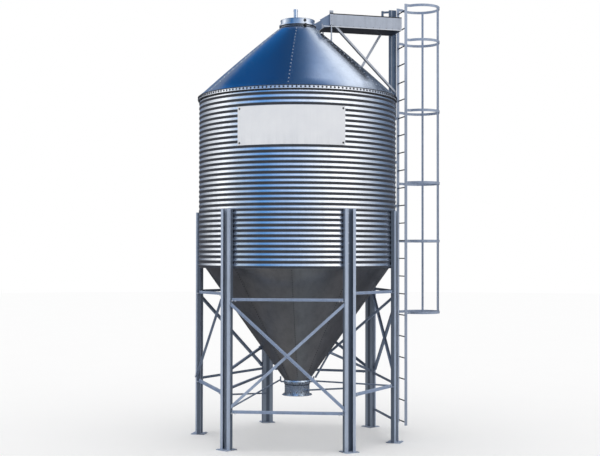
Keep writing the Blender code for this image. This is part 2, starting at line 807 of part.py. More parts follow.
def build_catwalk():
    """A flat deck between two side panels, with feet on the roof at its inner end.

    Only the near panel has a post that stands above it.
    """
    half = WALK_WIDTH / 2 - WALK_SHEET / 2
    deck_start, deck_end = WALK_START - 0.12, WALK_END - OVERLAP
    deck_bottom = WALK_BOTTOM + OVERLAP
    corner, opposite = (deck_start, -half, deck_bottom), (deck_end, half, deck_bottom + WALK_DECK)
    deck = block("catwalk", corner, opposite, "walkway_steel")
    pieces = [deck, walk_side(-1), walk_side(1)]
    for side in (-1, 1):
        foot, matrix = roof_foot(f"walk_foot_{side}", WALK_START, side * (half + 0.009))
        low = matrix.translation.z + 0.015
        strap_top = WALK_BOTTOM + 0.05
        strap = walk_upright(
            f"walk_strap_{side}", side, WALK_STRAP_HALF, WALK_STRAP_REACH, low, strap_top
        )
        pieces += [foot, strap]
    post_bottom = WALK_BOTTOM + 0.03
    pieces.append(
        walk_upright(
            "walk_post", -1, WALK_POST_HALF, WALK_POST_REACH, post_bottom, WALK_POST_TOP
        )
    )
    fuse("catwalk", pieces)


def build_struts():
    """Two struts under the deck: a long one to the access post, a short one to the roof."""
    down = Vector((0, 0, 1))
    section = box_section(STRUT_SIDE, STRUT_SIDE)
    near = Vector((LONG_STRUT_X, STRUT_INSET - WALK_WIDTH / 2, WALK_BOTTOM - GAP))
    far = Vector((sum(POST_X) / 2, WALK_WIDTH / 2, LONG_STRUT_FOOT))
    ends = EndPlane(near, down), EndPlane(far, Vector((0, 1, 0)))
    bar("catwalk_strut_long", section, *ends, "walkway_steel")
    y = WALK_WIDTH / 2 - STRUT_INSET
    pad, matrix = roof_foot("catwalk_strut_short", SHORT_STRUT_X[1], y)
    normal = matrix.col[2].to_3d()
    top = EndPlane(Vector((SHORT_STRUT_X[0], y, WALK_BOTTOM - GAP)), down)
    foot = EndPlane(matrix.translation + normal * ROOF_PAD_HEIGHT / 2, normal)
    strut = bar("short_strut_bar", section, top, foot, "walkway_steel")
    fuse("catwalk_strut_short", [pad, strut])


def build_access_post():
    """The channel beside the ladder's far stringer that carries the catwalk's outer end."""
    y0 = WALK_WIDTH / 2 + GAP
    x0, x1 = POST_X
    outline = [
        (x0, y0),
        (x1, y0),
        (x1, y0 + POST_Y),
        (x1 - POST_SHEET, y0 + POST_Y),
        (x1 - POST_SHEET, y0 + POST_SHEET),
        (x0 + POST_SHEET, y0 + POST_SHEET),
        (x0 + POST_SHEET, y0 + POST_Y),
        (x0, y0 + POST_Y),
    ]
    post = prism("access_post", outline, POST_TOP - POST_BOTTOM, "ladder_steel")
    post.data.transform(Matrix.Translation((0, 0, POST_BOTTOM)))
    pieces = [post]
    for k, z in enumerate((POST_BOTTOM + 0.06, POST_BOTTOM + 0.17)):
        pieces.append(wall_bracket(f"post_bracket_{k}", y0 + POST_SHEET / 2, z, x0 + 0.05))
    rail_y = y0 + GRAB_RAIL_WIDTH / 2
    rail_start = Vector((GRAB_RAIL_X, rail_y, POST_TOP - 0.06))
    rail_end = Vector((x1 - 0.02, rail_y, POST_TOP - 0.03))
    pieces.append(
        bar(
            "grab_rail",
            box_section(0.030, GRAB_RAIL_WIDTH),
            toward(rail_start, rail_end),
            toward(rail_end, rail_start),
            "ladder_steel",
        )
    )
    upright = block(
        "grab_upright",
        (GRAB_RAIL_X - GRAB_RAIL_WIDTH / 2, y0, WALK_BOTTOM + 0.02),
        (GRAB_RAIL_X + GRAB_RAIL_WIDTH / 2, y0 + GRAB_RAIL_WIDTH, POST_TOP - 0.03),
        "ladder_steel",
    )
    pieces.append(upright)
    fuse("access_post", pieces)


def build_sign():
    """A bare plate bent to the wall."""
    inner = WALL_RADIUS + GAP
    profile = [
        (inner, SIGN_BOTTOM),
        (inner + SIGN_SHEET, SIGN_BOTTOM),
        (inner + SIGN_SHEET, SIGN_TOP),
        (inner, SIGN_TOP),
    ]
    turned("sign_plate", profile, "sign_sheet", SIGN_START, SIGN_SWEEP)


clear_scene()
materials = {name: make_material(name) for name in COLOURS}
bin_axis = bpy.data.objects.new("bin_axis", None)
bin_axis.location = BIN_AXIS
bpy.context.scene.collection.objects.link(bin_axis)
build_walls()
build_eave()
build_roof()
build_neck_and_lid()
build_hopper()
build_boot()
build_legs()
build_rails()
build_diagonals()
build_stays()
build_ladder()
build_cage()
build_catwalk()
build_struts()
build_access_post()
build_sign()
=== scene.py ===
"""The looks of a hopper-bottom grain bin: corrugated galvanised wall, conical roof, cone-shaped
hopper, six braced legs, a caged ladder and a roof catwalk. Metres, +Z up, in the CAD's own frame.
"""

import logging
import math
from collections.abc import Callable, Iterable, Mapping, Sequence
from dataclasses import dataclass, replace
from enum import Enum

import bmesh
import bpy
from mathutils import Matrix, Vector
from mathutils.bvhtree import BVHTree


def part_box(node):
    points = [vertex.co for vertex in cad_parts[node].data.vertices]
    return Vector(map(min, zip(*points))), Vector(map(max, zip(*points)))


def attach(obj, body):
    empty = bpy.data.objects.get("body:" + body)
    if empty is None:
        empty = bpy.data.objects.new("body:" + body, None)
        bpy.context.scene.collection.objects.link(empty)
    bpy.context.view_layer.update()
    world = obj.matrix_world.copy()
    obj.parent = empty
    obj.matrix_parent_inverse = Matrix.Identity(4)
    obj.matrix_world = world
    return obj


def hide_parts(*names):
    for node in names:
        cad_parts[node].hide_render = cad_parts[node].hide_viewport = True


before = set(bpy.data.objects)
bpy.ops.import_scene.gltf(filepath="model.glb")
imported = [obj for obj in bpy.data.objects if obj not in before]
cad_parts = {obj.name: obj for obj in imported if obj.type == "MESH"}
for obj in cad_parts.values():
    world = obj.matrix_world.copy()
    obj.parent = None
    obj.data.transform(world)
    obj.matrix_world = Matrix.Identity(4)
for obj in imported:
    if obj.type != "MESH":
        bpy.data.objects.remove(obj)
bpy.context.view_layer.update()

log = logging.getLogger("grain_bin")

Rgb = tuple[float, float, float]
Point2 = tuple[float, float]
Point3 = tuple[float, float, float]
Spot = tuple[Vector, Vector]
Socket = bpy.types.NodeSocket
Sockets = bpy.types.NodeOutputs
# What an input takes: its own value, or the output that feeds it.
Feed = object

UP = Vector((0, 0, 1))
SHARP = math.radians(32.0)
WELD = 2e-5
GRID_WELD = 5e-5


# Shared sizes and small geometry helpers.


@dataclass(frozen=True)
class BinSizes:
    """The sizes that several sub-assemblies share, in metres and degrees round the bin's axis."""

    axis_x: float = -0.53966
    axis_y: float = -0.01647
    seam: float = -19.0
    wall_radius: float = 2.055
    wall_top: float = 7.03
    corrugation_pitch: float = 0.1016
    corrugation_depth: float = 0.0127
    corrugation_crest: float = 3.5708
    neck_radius: float = 0.416
    roof_start: float = 2.062
    roof_base: float = 7.0506
    roof_top: float = 8.494
    hopper_low: float = 1.1853
    hopper_high: float = 3.690
    hopper_radius: float = 0.262
    hopper_wide: float = 2.0407
    leg_depth: float = 0.100

    @property
    def axis(self) -> Point3:
        """The point of the bin's axis on the ground."""
        return self.axis_x, self.axis_y, 0.0

    def around(self, radius: float, degrees: float, z: float) -> Vector:
        """A point round the bin's axis.

        Args:
            radius: how far it is from the axis.
            degrees: its angle.
            z: its height.

        Returns:
            The point.
        """
        angle = math.radians(degrees)
        x = self.axis_x + radius * math.cos(angle)
        return Vector((x, self.axis_y + radius * math.sin(angle), z))

    def outward(self, degrees: float) -> Vector:
        """The level direction away from the bin's axis at this angle."""
        angle = math.radians(degrees)
        return Vector((math.cos(angle), math.sin(angle), 0.0))

    def sideways(self, degrees: float) -> Vector:
        """The level direction round the bin's axis at this angle."""
        out = self.outward(degrees)
        return Vector((-out.y, out.x, 0))

    def ring(self, radius: float, z: float, count: int, lean: float = 0.0) -> list[Spot]:
        """Spots spread evenly round the bin's axis.

        Args:
            radius: how far they are from it.
            z: their height.
            count: how many there are.
            lean: how far they look up for each metre outward.

        Returns:
            Each spot's point and outward direction.
        """
        turns = [self.seam + 360.0 * (k + 0.5) / count for k in range(count)]
        return [(self.around(radius, t, z), self.outward(t) + UP * lean) for t in turns]

    def roof_slope(self) -> float:
        """How much the roof climbs for each metre inward."""
        return (self.roof_top - self.roof_base) / (self.roof_start - self.neck_radius)

    def roof_height(self, radius: float) -> float:
        """The height of the roof's outer face over this radius."""
        return self.roof_base + (self.roof_start - radius) * self.roof_slope()

    def hopper_at(self, z: float) -> float:
        """The radius of the hopper's outer face at this height."""
        share = (z - self.hopper_low) / (self.hopper_high - self.hopper_low)
        return self.hopper_radius + share * (self.hopper_wide - self.hopper_radius)


SIZES = BinSizes()


class LegName(Enum):
    """The six legs and their angles round the bin's axis."""

    A = 155.0
    B = 214.3
    C = 283.5
    D = 325.0
    F = 384.6
    E = 453.7

    @property
    def node(self) -> str:
        """The CAD node of this leg."""
        return f"leg_{self.name.lower()}"


def linked(name: str, mesh: bpy.types.Mesh) -> bpy.types.Object:
    """Puts a mesh in the scene.

    Args:
        name: the piece's name.
        mesh: its mesh, in the frame's own place.

    Returns:
        The new object, at the origin.
    """
    obj = bpy.data.objects.new(name, mesh)
    bpy.context.scene.collection.objects.link(obj)
    return obj


def closed_mesh(name: str, bm: bmesh.types.BMesh) -> bpy.types.Mesh:
    """Merges doubles, turns the faces outward and shades them smooth up to a sharp angle.

    Args:
        name: the mesh's name.
        bm: the faces, which are freed.

    Returns:
        The finished mesh.
    """
    bmesh.ops.remove_doubles(bm, verts=bm.verts, dist=WELD)
    bmesh.ops.recalc_face_normals(bm, faces=bm.faces)
    mesh = bpy.data.meshes.new(name)
    bm.to_mesh(mesh)
    bm.free()
    mesh.shade_smooth()
    mesh.set_sharp_from_angle(angle=SHARP)
    return mesh


def softened(profile: Sequence[Point2], radius: float, steps: int = 4) -> list[Point2]:
    """Rounds the corners of a closed profile.

    Args:
        profile: its corners, in order.
        radius: how far from each corner the rounding starts.
        steps: the points on each rounded corner, less one.

    Returns:
        The points of the rounded profile.
    """
    points: list[Point2] = []
    count = len(profile)
    for k, corner in enumerate(profile):
        here = Vector(corner)
        before = Vector(profile[k - 1]) - here
        after = Vector(profile[(k + 1) % count]) - here
        start = here + before.normalized() * min(radius, before.length * 0.45)
        end = here + after.normalized() * min(radius, after.length * 0.45)
        for step in range(steps + 1):
            t = step / steps
            point = start * (1 - t) ** 2 + here * 2 * t * (1 - t) + end * t**2
            points.append((point.x, point.y))
    return points


@dataclass(frozen=True)
class Turning:
    """A closed profile turned right round an upright axis."""

    profile: Sequence[Point2]
    segments: int
    shift_x: float = 0.0

    def add_to(self, bm: bmesh.types.BMesh) -> None:
        """Adds the turned faces; points on the axis close into a pole.

        Args:
            bm: where they go.
        """
        rings = []
        for k in range(self.segments):
            degrees = SIZES.seam + 360.0 * k / self.segments
            ring = [bm.verts.new(SIZES.around(r, degrees, z)) for r, z in self.profile]
            for vert in ring:
                vert.co.x += self.shift_x
            rings.append(ring)
        for k, ring in enumerate(rings):
            other = rings[(k + 1) % self.segments]
            for j in range(len(ring)):
                n = (j + 1) % len(ring)
                bm.faces.new((ring[j], other[j], other[n], ring[n]))


def add_shell(
    bm: bmesh.types.BMesh, columns: int, rows: int, place: Callable[[int, int, bool], Vector]
) -> None:
    """Adds a closed thin sheet to bm.

    Args:
        bm: where it goes.
        columns: its spans one way.
        rows: its spans the other way.
        place: the point of a column and row, on its outer face or its inner one.
    """
    sides = [
        [[bm.verts.new(place(i, j, outer)) for j in range(rows + 1)] for i in range(columns + 1)]
        for outer in (True, False)
    ]
    for side in sides:
        for i in range(columns):
            for j in range(rows):
                quad = (side[i][j], side[i + 1][j], side[i + 1][j + 1], side[i][j + 1])
                bm.faces.new(quad if side is sides[0] else quad[::-1])
    rim = [(i, 0) for i in range(columns)] + [(columns, j) for j in range(rows)]
    rim += [(i, rows) for i in range(columns, 0, -1)] + [(0, j) for j in range(rows, 0, -1)]
    outer, inner = sides
    for (i, j), (m, n) in zip(rim, rim[1:] + rim[:1]):
        bm.faces.new((outer[i][j], inner[i][j], inner[m][n], outer[m][n]))


# Node trees: a small board for filling them, and the rules and effects made with it.


class Board:
    """One node tree while it is filled: adds nodes, sets their sockets and joins them."""

    def __init__(self, tree: bpy.types.NodeTree) -> None:
        """Keeps the tree that is filled."""
        self.tree = tree

    def put(
        self, kind: str, sockets: Mapping[int | str, Feed] | None = None, **settings: object
    ) -> bpy.types.Node:
        """Adds a node.

        Args:
            kind: the node's type.
            sockets: for each input, a value or the output that feeds it.
            settings: the node's own properties.

        Returns:
            The node.
        """
        node = self.tree.nodes.new(kind)
        for key, value in settings.items():
            setattr(node, key, value)
        for key, value in (sockets or {}).items():
            self.feed(node.inputs[key], value)
        return node

    def feed(self, socket: Socket, value: Feed) -> None:
        """Links an output to a socket, or sets the socket's own value.

        Args:
            socket: the input.
            value: the output that feeds it, or its value.
        """
        if isinstance(value, Socket):
            self.tree.links.new(value, socket)
        else:
            socket.default_value = value

    def math(self, operation: str, *values: Feed) -> Socket:
        """The result of one calculation on numbers."""
        return self.put("ShaderNodeMath", dict(enumerate(values)), operation=operation).outputs[0]

    def vectors(self, operation: str, *values: Feed) -> Socket:
        """The result of one calculation on vectors, a number where it is a dot product."""
        node = self.put("ShaderNodeVectorMath", dict(enumerate(values)), operation=operation)
        return node.outputs["Value" if operation == "DOT_PRODUCT" else "Vector"]

    def parts(self, vector: Feed) -> Sockets:
        """The three numbers of a vector."""
        return self.put("ShaderNodeSeparateXYZ", {0: vector}).outputs

    def noise(self, vector: Feed, scale: Feed, detail: float, roughness: float = 0.5) -> Socket:
        """Smooth noise from 0 to 1."""
        sockets = {"Vector": vector, "Scale": scale, "Detail": detail, "Roughness": roughness}
        return self.put("ShaderNodeTexNoise", sockets).outputs[0]

    def group(self, tree: bpy.types.NodeTree, sockets: Mapping[str, Feed]) -> Sockets:
        """The outputs of a shared group that is placed here with these inputs."""
        return self.put("ShaderNodeGroup", sockets, node_tree=tree).outputs

    def give(self, **results: Feed) -> bpy.types.NodeTree:
        """Ends a group with these outputs and returns its tree."""
        self.put("NodeGroupOutput", results)
        return self.tree

    def remap(
        self,
        value: Feed,
        low: Feed,
        high: Feed,
        to_low: Feed = 0.0,
        to_high: Feed = 1.0,
        smooth: bool = False,
    ) -> Socket:
        """A value moved from one range to another.

        Args:
            value: what is moved.
            low: the old range's start.
            high: the old range's end.
            to_low: the new range's start.
            to_high: the new range's end.
            smooth: whether it eases in and out.

        Returns:
            The moved value.
        """
        kind = "SMOOTHSTEP" if smooth else "LINEAR"
        sockets = {0: value, 1: low, 2: high, 3: to_low, 4: to_high}
        return self.put("ShaderNodeMapRange", sockets, interpolation_type=kind).outputs[0]

    def blend(self, share: Feed, first: Feed, second: Feed) -> Socket:
        """One colour laid over another.

        Args:
            share: how much of the second shows.
            first: the colour below.
            second: the colour above.

        Returns:
            The mixed colour.
        """
        sockets = {0: share, 6: solid(first), 7: solid(second)}
        return self.put("ShaderNodeMix", sockets, data_type="RGBA").outputs[2]


def solid(colour: Feed) -> Feed:
    """A colour of three numbers with its fourth, and anything else as it is."""
    return (*colour, 1.0) if isinstance(colour, tuple) and len(colour) == 3 else colour


def shown(code: str) -> Rgb:
    """The light, in linear numbers, that shows as this colour on a screen.

    Args:
        code: the colour as six hexadecimal digits.

    Returns:
        Red, green and blue.
    """
    parts = [int(code[k : k + 2], 16) / 255 for k in (0, 2, 4)]
    light = [c / 12.92 if c <= 0.04045 else ((c + 0.055) / 1.055) ** 2.4 for c in parts]
    return light[0], light[1], light[2]


SocketPlan = Sequence[tuple[str, str, object]]
SOCKET_KINDS = {
    "number": "NodeSocketFloat",
    "count": "NodeSocketInt",
    "vector": "NodeSocketVector",
    "material": "NodeSocketMaterial",
    "geometry": "NodeSocketGeometry",
}


def open_group(name: str, kind: str, gives: SocketPlan, takes: SocketPlan) -> Board:
    """Starts a node group with named inputs and outputs.

    Args:
        name: the group's name.
        kind: ShaderNodeTree or GeometryNodeTree.
        gives: its outputs: name, kind and value.
        takes: its inputs: name, kind and value.

    Returns:
        The board of the new group.
    """
    tree = bpy.data.node_groups.new(name, kind)
    for way, plan in (("OUTPUT", gives), ("INPUT", takes)):
        for label, socket_kind, value in plan:
            socket = tree.interface.new_socket(
                name=label, in_out=way, socket_type=SOCKET_KINDS[socket_kind]
            )
            if value is not None:
                socket.default_value = value
    return Board(tree)


class Rule:
    """A Geometry Nodes rule with named sizes, which grows plain meshes."""

    def __init__(self, name: str, takes: SocketPlan) -> None:
        """Opens the tree.

        Args:
            name: the tree's name.
            takes: its sizes: name, kind and value.
        """
        seed = [("Geometry", "geometry", None)]
        self.board = open_group(name, "GeometryNodeTree", seed, [*seed, *takes])
        self.inputs = self.board.put("NodeGroupInput").outputs

    def close(self, *dressed: tuple[Socket, Socket]) -> None:
        """Ends the tree: each geometry is realised and given its material, and they are joined.

        Args:
            dressed: each geometry with its material.
        """
        join = self.board.put("GeometryNodeJoinGeometry")
        for geometry, material in dressed:
            real = self.board.put("GeometryNodeRealizeInstances", {0: geometry})
            sockets = {"Geometry": real.outputs[0], "Material": material}
            dress = self.board.put("GeometryNodeSetMaterial", sockets)
            self.board.feed(join.inputs[0], dress.outputs[0])
        self.board.put("NodeGroupOutput", {0: join.outputs[0]})

    def grow(
        self, name: str, seed: bpy.types.Mesh, sizes: Mapping[str, object]
    ) -> bpy.types.Object:
        """Runs the rule once and keeps the result as a plain mesh.

        Args:
            name: the piece's name.
            seed: the mesh that the rule starts from.
            sizes: the values of its named inputs.

        Returns:
            The finished object, with no modifier on it.
        """
        obj = linked(name, seed)
        rule = obj.modifiers.new("rule", "NODES")
        rule.node_group = self.board.tree
        for item in self.board.tree.interface.items_tree:
            if item.in_out == "INPUT" and item.name in sizes:
                rule[item.identifier] = sizes[item.name]
        graph = bpy.context.evaluated_depsgraph_get()
        mesh = bpy.data.meshes.new_from_object(obj.evaluated_get(graph))
        obj.modifiers.remove(rule)
        obj.data = mesh
        mesh.name = name
        return obj


class CorrugatedSheetRule(Rule):
    """Rolls one curved sheet whose radius waves with its height, closed all round its edges."""

    def __init__(self) -> None:
        """Builds the tree."""
        takes = [
            (label, "number", 0.0)
            for label in (
                "Axis X", "Axis Y", "Radius", "Depth", "Pitch", "Crest", "Sheet", "Low", "High",
                "Start", "Sweep", "Lap Angle", "Lap Lift",
            )
        ]  # fmt: skip
        takes += [("Columns", "count", 80), ("Rows", "count", 100), ("Material", "material", None)]
        super().__init__("corrugated_sheet", takes)
        board, size, calc = self.board, self.inputs, self.board.math
        ring = calc("MULTIPLY_ADD", size["Rows"], 2.0, 1.0)
        sockets = {0: 1.0, 1: 1.0, 2: calc("ADD", size["Columns"], 1.0), 3: ring}
        grid = board.put("GeometryNodeMeshGrid", sockets)
        index = board.put("GeometryNodeInputIndex").outputs[0]
        column = calc("FLOOR", calc("DIVIDE", calc("ADD", index, 0.5), ring))
        row = calc("SUBTRACT", index, calc("MULTIPLY", column, ring))
        loop = calc("SUBTRACT", ring, 1.0)
        step = calc("MODULO", row, loop)
        back = calc("SUBTRACT", calc("SUBTRACT", loop, 1.0), step)
        last_row = calc("SUBTRACT", size["Rows"], 1.0)
        level = calc("MINIMUM", step, back)
        height = board.remap(level, 0.0, last_row, size["Low"], size["High"])
        inner = calc("GREATER_THAN", step, calc("ADD", last_row, 0.5))
        not_first = calc("GREATER_THAN", column, 0.5)
        not_last = calc("LESS_THAN", column, calc("SUBTRACT", size["Columns"], 0.5))
        middle = calc("MULTIPLY", not_first, not_last)
        share = board.remap(column, 1.0, calc("SUBTRACT", size["Columns"], 2.0))
        lapped = calc("GREATER_THAN", column, calc("SUBTRACT", size["Columns"], 1.5))
        risen = calc("GREATER_THAN", share, 0.999)
        angle = calc("MULTIPLY_ADD", size["Sweep"], share, size["Start"])
        angle = calc("MULTIPLY_ADD", size["Lap Angle"], lapped, angle)
        wave = calc("MULTIPLY", calc("SUBTRACT", height, size["Crest"]), math.tau)
        wave = calc("COSINE", calc("DIVIDE", wave, size["Pitch"]))
        wave = calc("MULTIPLY_ADD", wave, 0.5, -0.5)
        radius = calc("MULTIPLY_ADD", wave, size["Depth"], size["Radius"])
        radius = calc("MULTIPLY_ADD", risen, size["Lap Lift"], radius)
        taken = calc("MULTIPLY", calc("MULTIPLY", inner, middle), size["Sheet"])
        radius = calc("SUBTRACT", radius, taken)
        x = calc("MULTIPLY_ADD", radius, calc("COSINE", angle), size["Axis X"])
        y = calc("MULTIPLY_ADD", radius, calc("SINE", angle), size["Axis Y"])
        spot = board.put("ShaderNodeCombineXYZ", {0: x, 1: y, 2: height}).outputs[0]
        sockets = {"Geometry": grid.outputs[0], "Position": spot}
        moved = board.put("GeometryNodeSetPosition", sockets)
        sockets = {"Geometry": moved.outputs[0], "Distance": GRID_WELD}
        merged = board.put("GeometryNodeMergeByDistance", sockets)
        smooth = board.put("GeometryNodeSetShadeSmooth", {"Geometry": merged.outputs[0]})
        self.close((smooth.outputs[0], size["Material"]))


class FastenerRule(Rule):
    """Sets a six-sided bolt head on a round washer at each point, along the point's facing."""

    def __init__(self) -> None:
        """Builds the tree."""
        takes = [
            ("Head Radius", "number", 0.009),
            ("Head Height", "number", 0.006),
            ("Washer Radius", "number", 0.013),
            ("Washer Height", "number", 0.002),
            ("Seed", "count", 7),
            ("Head Material", "material", None),
            ("Washer Material", "material", None),
        ]
        super().__init__("fasteners", takes)
        board, size, calc = self.board, self.inputs, self.board.math
        name = {"Name": "facing"}
        facing = board.put("GeometryNodeInputNamedAttribute", name, data_type="FLOAT_VECTOR")
        stood = board.put("FunctionNodeAlignRotationToVector", {2: facing.outputs[0]}, axis="Z")
        turn = board.put("FunctionNodeRandomValue", {2: 0.0, 3: math.tau, 8: size["Seed"]})
        spin = board.put("FunctionNodeAxisAngleToRotation", {0: (0, 0, 1), 1: turn.outputs[1]})
        turns = {0: stood.outputs[0], 1: spin.outputs[0]}
        pose = board.put("FunctionNodeRotateRotation", turns, rotation_space="LOCAL")
        dressed = []
        for part, sides, share, base in (("Head", 6, 0.5, 1.0), ("Washer", 10, 0.4, 0.0)):
            height = size[f"{part} Height"]
            base = calc("MULTIPLY", size["Washer Height"], base)
            level = calc("MULTIPLY_ADD", height, share, base)
            sockets = {0: sides, 3: size[f"{part} Radius"], 4: height}
            disc = board.put("GeometryNodeMeshCylinder", sockets)
            lift = board.put("ShaderNodeCombineXYZ", {2: level}).outputs[0]
            sockets = {0: disc.outputs[0], "Translation": lift}
            shape = board.put("GeometryNodeTransform", sockets)
            sockets = {
                "Points": size["Geometry"],
                "Instance": shape.outputs[0],
                "Rotation": pose.outputs[0],
            }
            copies = board.put("GeometryNodeInstanceOnPoints", sockets)
            dressed.append((copies.outputs[0], size[f"{part} Material"]))
        self.close(*dressed)


@dataclass(frozen=True)
class FastenerSize:
    """The head and washer of one kind of bolt, in metres."""

    head_radius: float
    head_height: float
    washer_radius: float
    washer_height: float = 0.0025


class FastenerKind(Enum):
    """The bolts that the bin is put together with."""

    EAVE = FastenerSize(0.0120, 0.009, 0.0200, 0.003)
    LATCH = FastenerSize(0.0200, 0.016, 0.0330, 0.006)
    ROOF = FastenerSize(0.0085, 0.006, 0.0120)
    FRAME = FastenerSize(0.0125, 0.010, 0.0175, 0.003)
    SMALL = FastenerSize(0.0070, 0.005, 0.0095, 0.002)


# Effects: shader groups that several finishes use.


def shader_group(
    name: str, gives: Sequence[str], takes: Mapping[str, float | None]
) -> tuple[Board, Sockets]:
    """Starts a shader group whose outputs are numbers.

    Args:
        name: the group's name.
        gives: its outputs.
        takes: its inputs, each with its value; one without a value is a vector.

    Returns:
        The board of the new group, and its inputs.
    """
    outputs = [(label, "number", None) for label in gives]
    inputs = [(key, "vector" if value is None else "number", value) for key, value in takes.items()]
    board = open_group(name, "ShaderNodeTree", outputs, inputs)
    return board, board.put("NodeGroupInput").outputs


class Effects:
    """The shader groups, each built once."""

    def __init__(self) -> None:
        """Builds them all."""
        self.spangle = self._spangle()
        self.streaks = self._streaks()
        self.dust = self._dust()
        self.ripple = self._ripple()
        self.valley_shade = self._valley_shade()
        self.outer = self._outer()
        self.channel = self._channel()
        self.between = self._between()

    def _spangle(self) -> bpy.types.NodeTree:
        """Zinc crystals of varied brightness, with broad clouds over them.

        Returns:
            The group.
        """
        takes = {"Vector": None, "Crystals": 60.0, "Clouds": 1.5}
        board, size = shader_group("zinc_spangle", ("Tone", "Height"), takes)
        sockets = {"Vector": size["Vector"], "Scale": size["Crystals"]}
        cells = board.put("ShaderNodeTexVoronoi", sockets)
        crystal = board.put("ShaderNodeSeparateColor", {0: cells.outputs["Color"]}).outputs[0]
        broad = board.remap(board.noise(size["Vector"], size["Clouds"], 4.0, 0.55), 0.32, 0.68)
        tone = board.math("MULTIPLY_ADD", crystal, 0.35, board.math("MULTIPLY", broad, 0.65))
        return board.give(Tone=tone, Height=crystal)

    def _streaks(self) -> bpy.types.NodeTree:
        """Marks that rain leaves down an upright sheet.

        Returns:
            The group.
        """
        takes = {"Vector": None, "Across": 9.0, "Down": 0.7}
        board, size = shader_group("rain_streaks", ("Mask",), takes)
        sockets = {0: size["Across"], 1: size["Across"], 2: size["Down"]}
        stretch = board.put("ShaderNodeCombineXYZ", sockets).outputs[0]
        noise = board.noise(board.vectors("MULTIPLY", size["Vector"], stretch), 1.0, 5.0, 0.62)
        return board.give(Mask=board.remap(noise, 0.46, 0.74))

    def _dust(self) -> bpy.types.NodeTree:
        """Dust that settles on faces that look up, and splashes near the ground.

        Returns:
            The group.
        """
        board, size = shader_group("settled_dust", ("Mask",), {"Vector": None, "Ground": 0.45})
        up = board.parts(board.put("ShaderNodeNewGeometry").outputs["Normal"])[2]
        flat = board.remap(up, 0.55, 1.0, smooth=True)
        height = board.parts(size["Vector"])[2]
        splash = board.remap(height, 0.0, size["Ground"], 1.0, 0.0, smooth=True)
        patchy = board.remap(board.noise(size["Vector"], 7.0, 6.0), 0.35, 0.65, 0.35, 1.0)
        settled = board.math("MAXIMUM", flat, splash)
        return board.give(Mask=board.math("MULTIPLY", settled, patchy))

    def _ripple(self) -> bpy.types.NodeTree:
        """The slight unevenness of rolled sheet, in metres.

        Returns:
            The group.
        """
        takes = {"Vector": None, "Waves": 2.0, "Depth": 0.001}
        board, size = shader_group("sheet_ripple", ("Height",), takes)
        noise = board.noise(size["Vector"], size["Waves"], 2.0, 0.4)
        return board.give(Height=board.math("MULTIPLY", noise, size["Depth"]))

    def _valley_shade(self) -> bpy.types.NodeTree:
        """Painted shade on the flank that looks down under each corrugation's crest, made uneven
        with noise.

        Returns:
            The group.
        """
        takes = {"Vector": None, "Pitch": 0.1, "Crest": 0.0}
        board, size = shader_group("corrugation_shade", ("Mask",), takes)
        height = board.math("SUBTRACT", board.parts(size["Vector"])[2], size["Crest"])
        phase = board.math("MULTIPLY", board.math("DIVIDE", height, size["Pitch"]), math.tau)
        noise = board.noise(size["Vector"], 5.0, 3.0)
        uneven = board.math("MULTIPLY_ADD", noise, 0.5, board.math("SINE", phase))
        return board.give(Mask=board.remap(uneven, 0.45, -0.35, smooth=True))

    def _outer(self) -> bpy.types.NodeTree:
        """Faces that look away from the bin's axis, or up: the lit faces, which keep their colour
        where the others take painted shade.

        Returns:
            The group.
        """
        board, size = shader_group("outward_faces", ("Mask",), {"Vector": None, "Axis": None})
        away = board.vectors("SUBTRACT", size["Vector"], size["Axis"])
        level = board.vectors("MULTIPLY", away, (1.0, 1.0, 0.0))
        normal = board.put("ShaderNodeNewGeometry").outputs["True Normal"]
        facing = board.vectors("DOT_PRODUCT", normal, board.vectors("NORMALIZE", level))
        out = board.remap(facing, 0.35, 0.85, smooth=True)
        up = board.remap(board.parts(normal)[2], 0.5, 0.9)
        return board.give(Mask=board.math("MAXIMUM", out, up))

    def _channel(self) -> bpy.types.NodeTree:
        """Masks for the painted shade on one lipped channel: its recess, the recess's part in the
        lip's painted shadow, its sides, its web and the web's groove.

        Returns:
            The group.
        """
        takes = {
            "Vector": None, "Axis": None, "Outward": None, "Along": None,
            "Rim": 2.1, "Half Groove": 0.035,
        }  # fmt: skip
        gives = ("Recess", "Shaded", "Side", "Web", "Groove")
        board, size = shader_group("channel_faces", gives, takes)
        normal = board.put("ShaderNodeNewGeometry").outputs["True Normal"]
        away = board.vectors("SUBTRACT", size["Vector"], size["Axis"])
        radius = board.vectors("DOT_PRODUCT", away, size["Outward"])
        across = board.vectors("DOT_PRODUCT", away, size["Along"])
        out = board.vectors("DOT_PRODUCT", normal, size["Outward"])
        turned = board.math("ABSOLUTE", board.vectors("DOT_PRODUCT", normal, size["Along"]))
        inset = board.math("SUBTRACT", size["Rim"], radius)
        recess = board.remap(out, 0.5, 0.8)
        side = board.remap(turned, 0.5, 0.8)
        edge = board.math("ADD", size["Half Groove"], 0.008)
        half = board.math("ABSOLUTE", across)
        return board.give(
            Recess=board.math("MULTIPLY", recess, board.remap(inset, 0.010, 0.016)),
            Shaded=board.remap(across, 0.010, 0.020),
            Side=board.math("MULTIPLY", side, board.remap(inset, 0.026, 0.036)),
            Web=board.remap(out, -0.5, -0.8),
            Groove=board.remap(half, size["Half Groove"], edge, 1.0, 0.0),
        )

    def _between(self) -> bpy.types.NodeTree:
        """A band on one axis, with soft edges.

        Returns:
            The group.
        """
        takes = {"Value": 0.0, "Low": 0.0, "High": 1.0, "Soft": 0.002}
        board, size = shader_group("band", ("Mask",), takes)
        inner = board.math("ADD", size["Low"], size["Soft"])
        outer = board.math("SUBTRACT", size["High"], size["Soft"])
        rise = board.remap(size["Value"], size["Low"], inner)
        fall = board.remap(size["Value"], outer, size["High"], 1.0, 0.0)
        return board.give(Mask=board.math("MULTIPLY", rise, fall))


# Finishes.


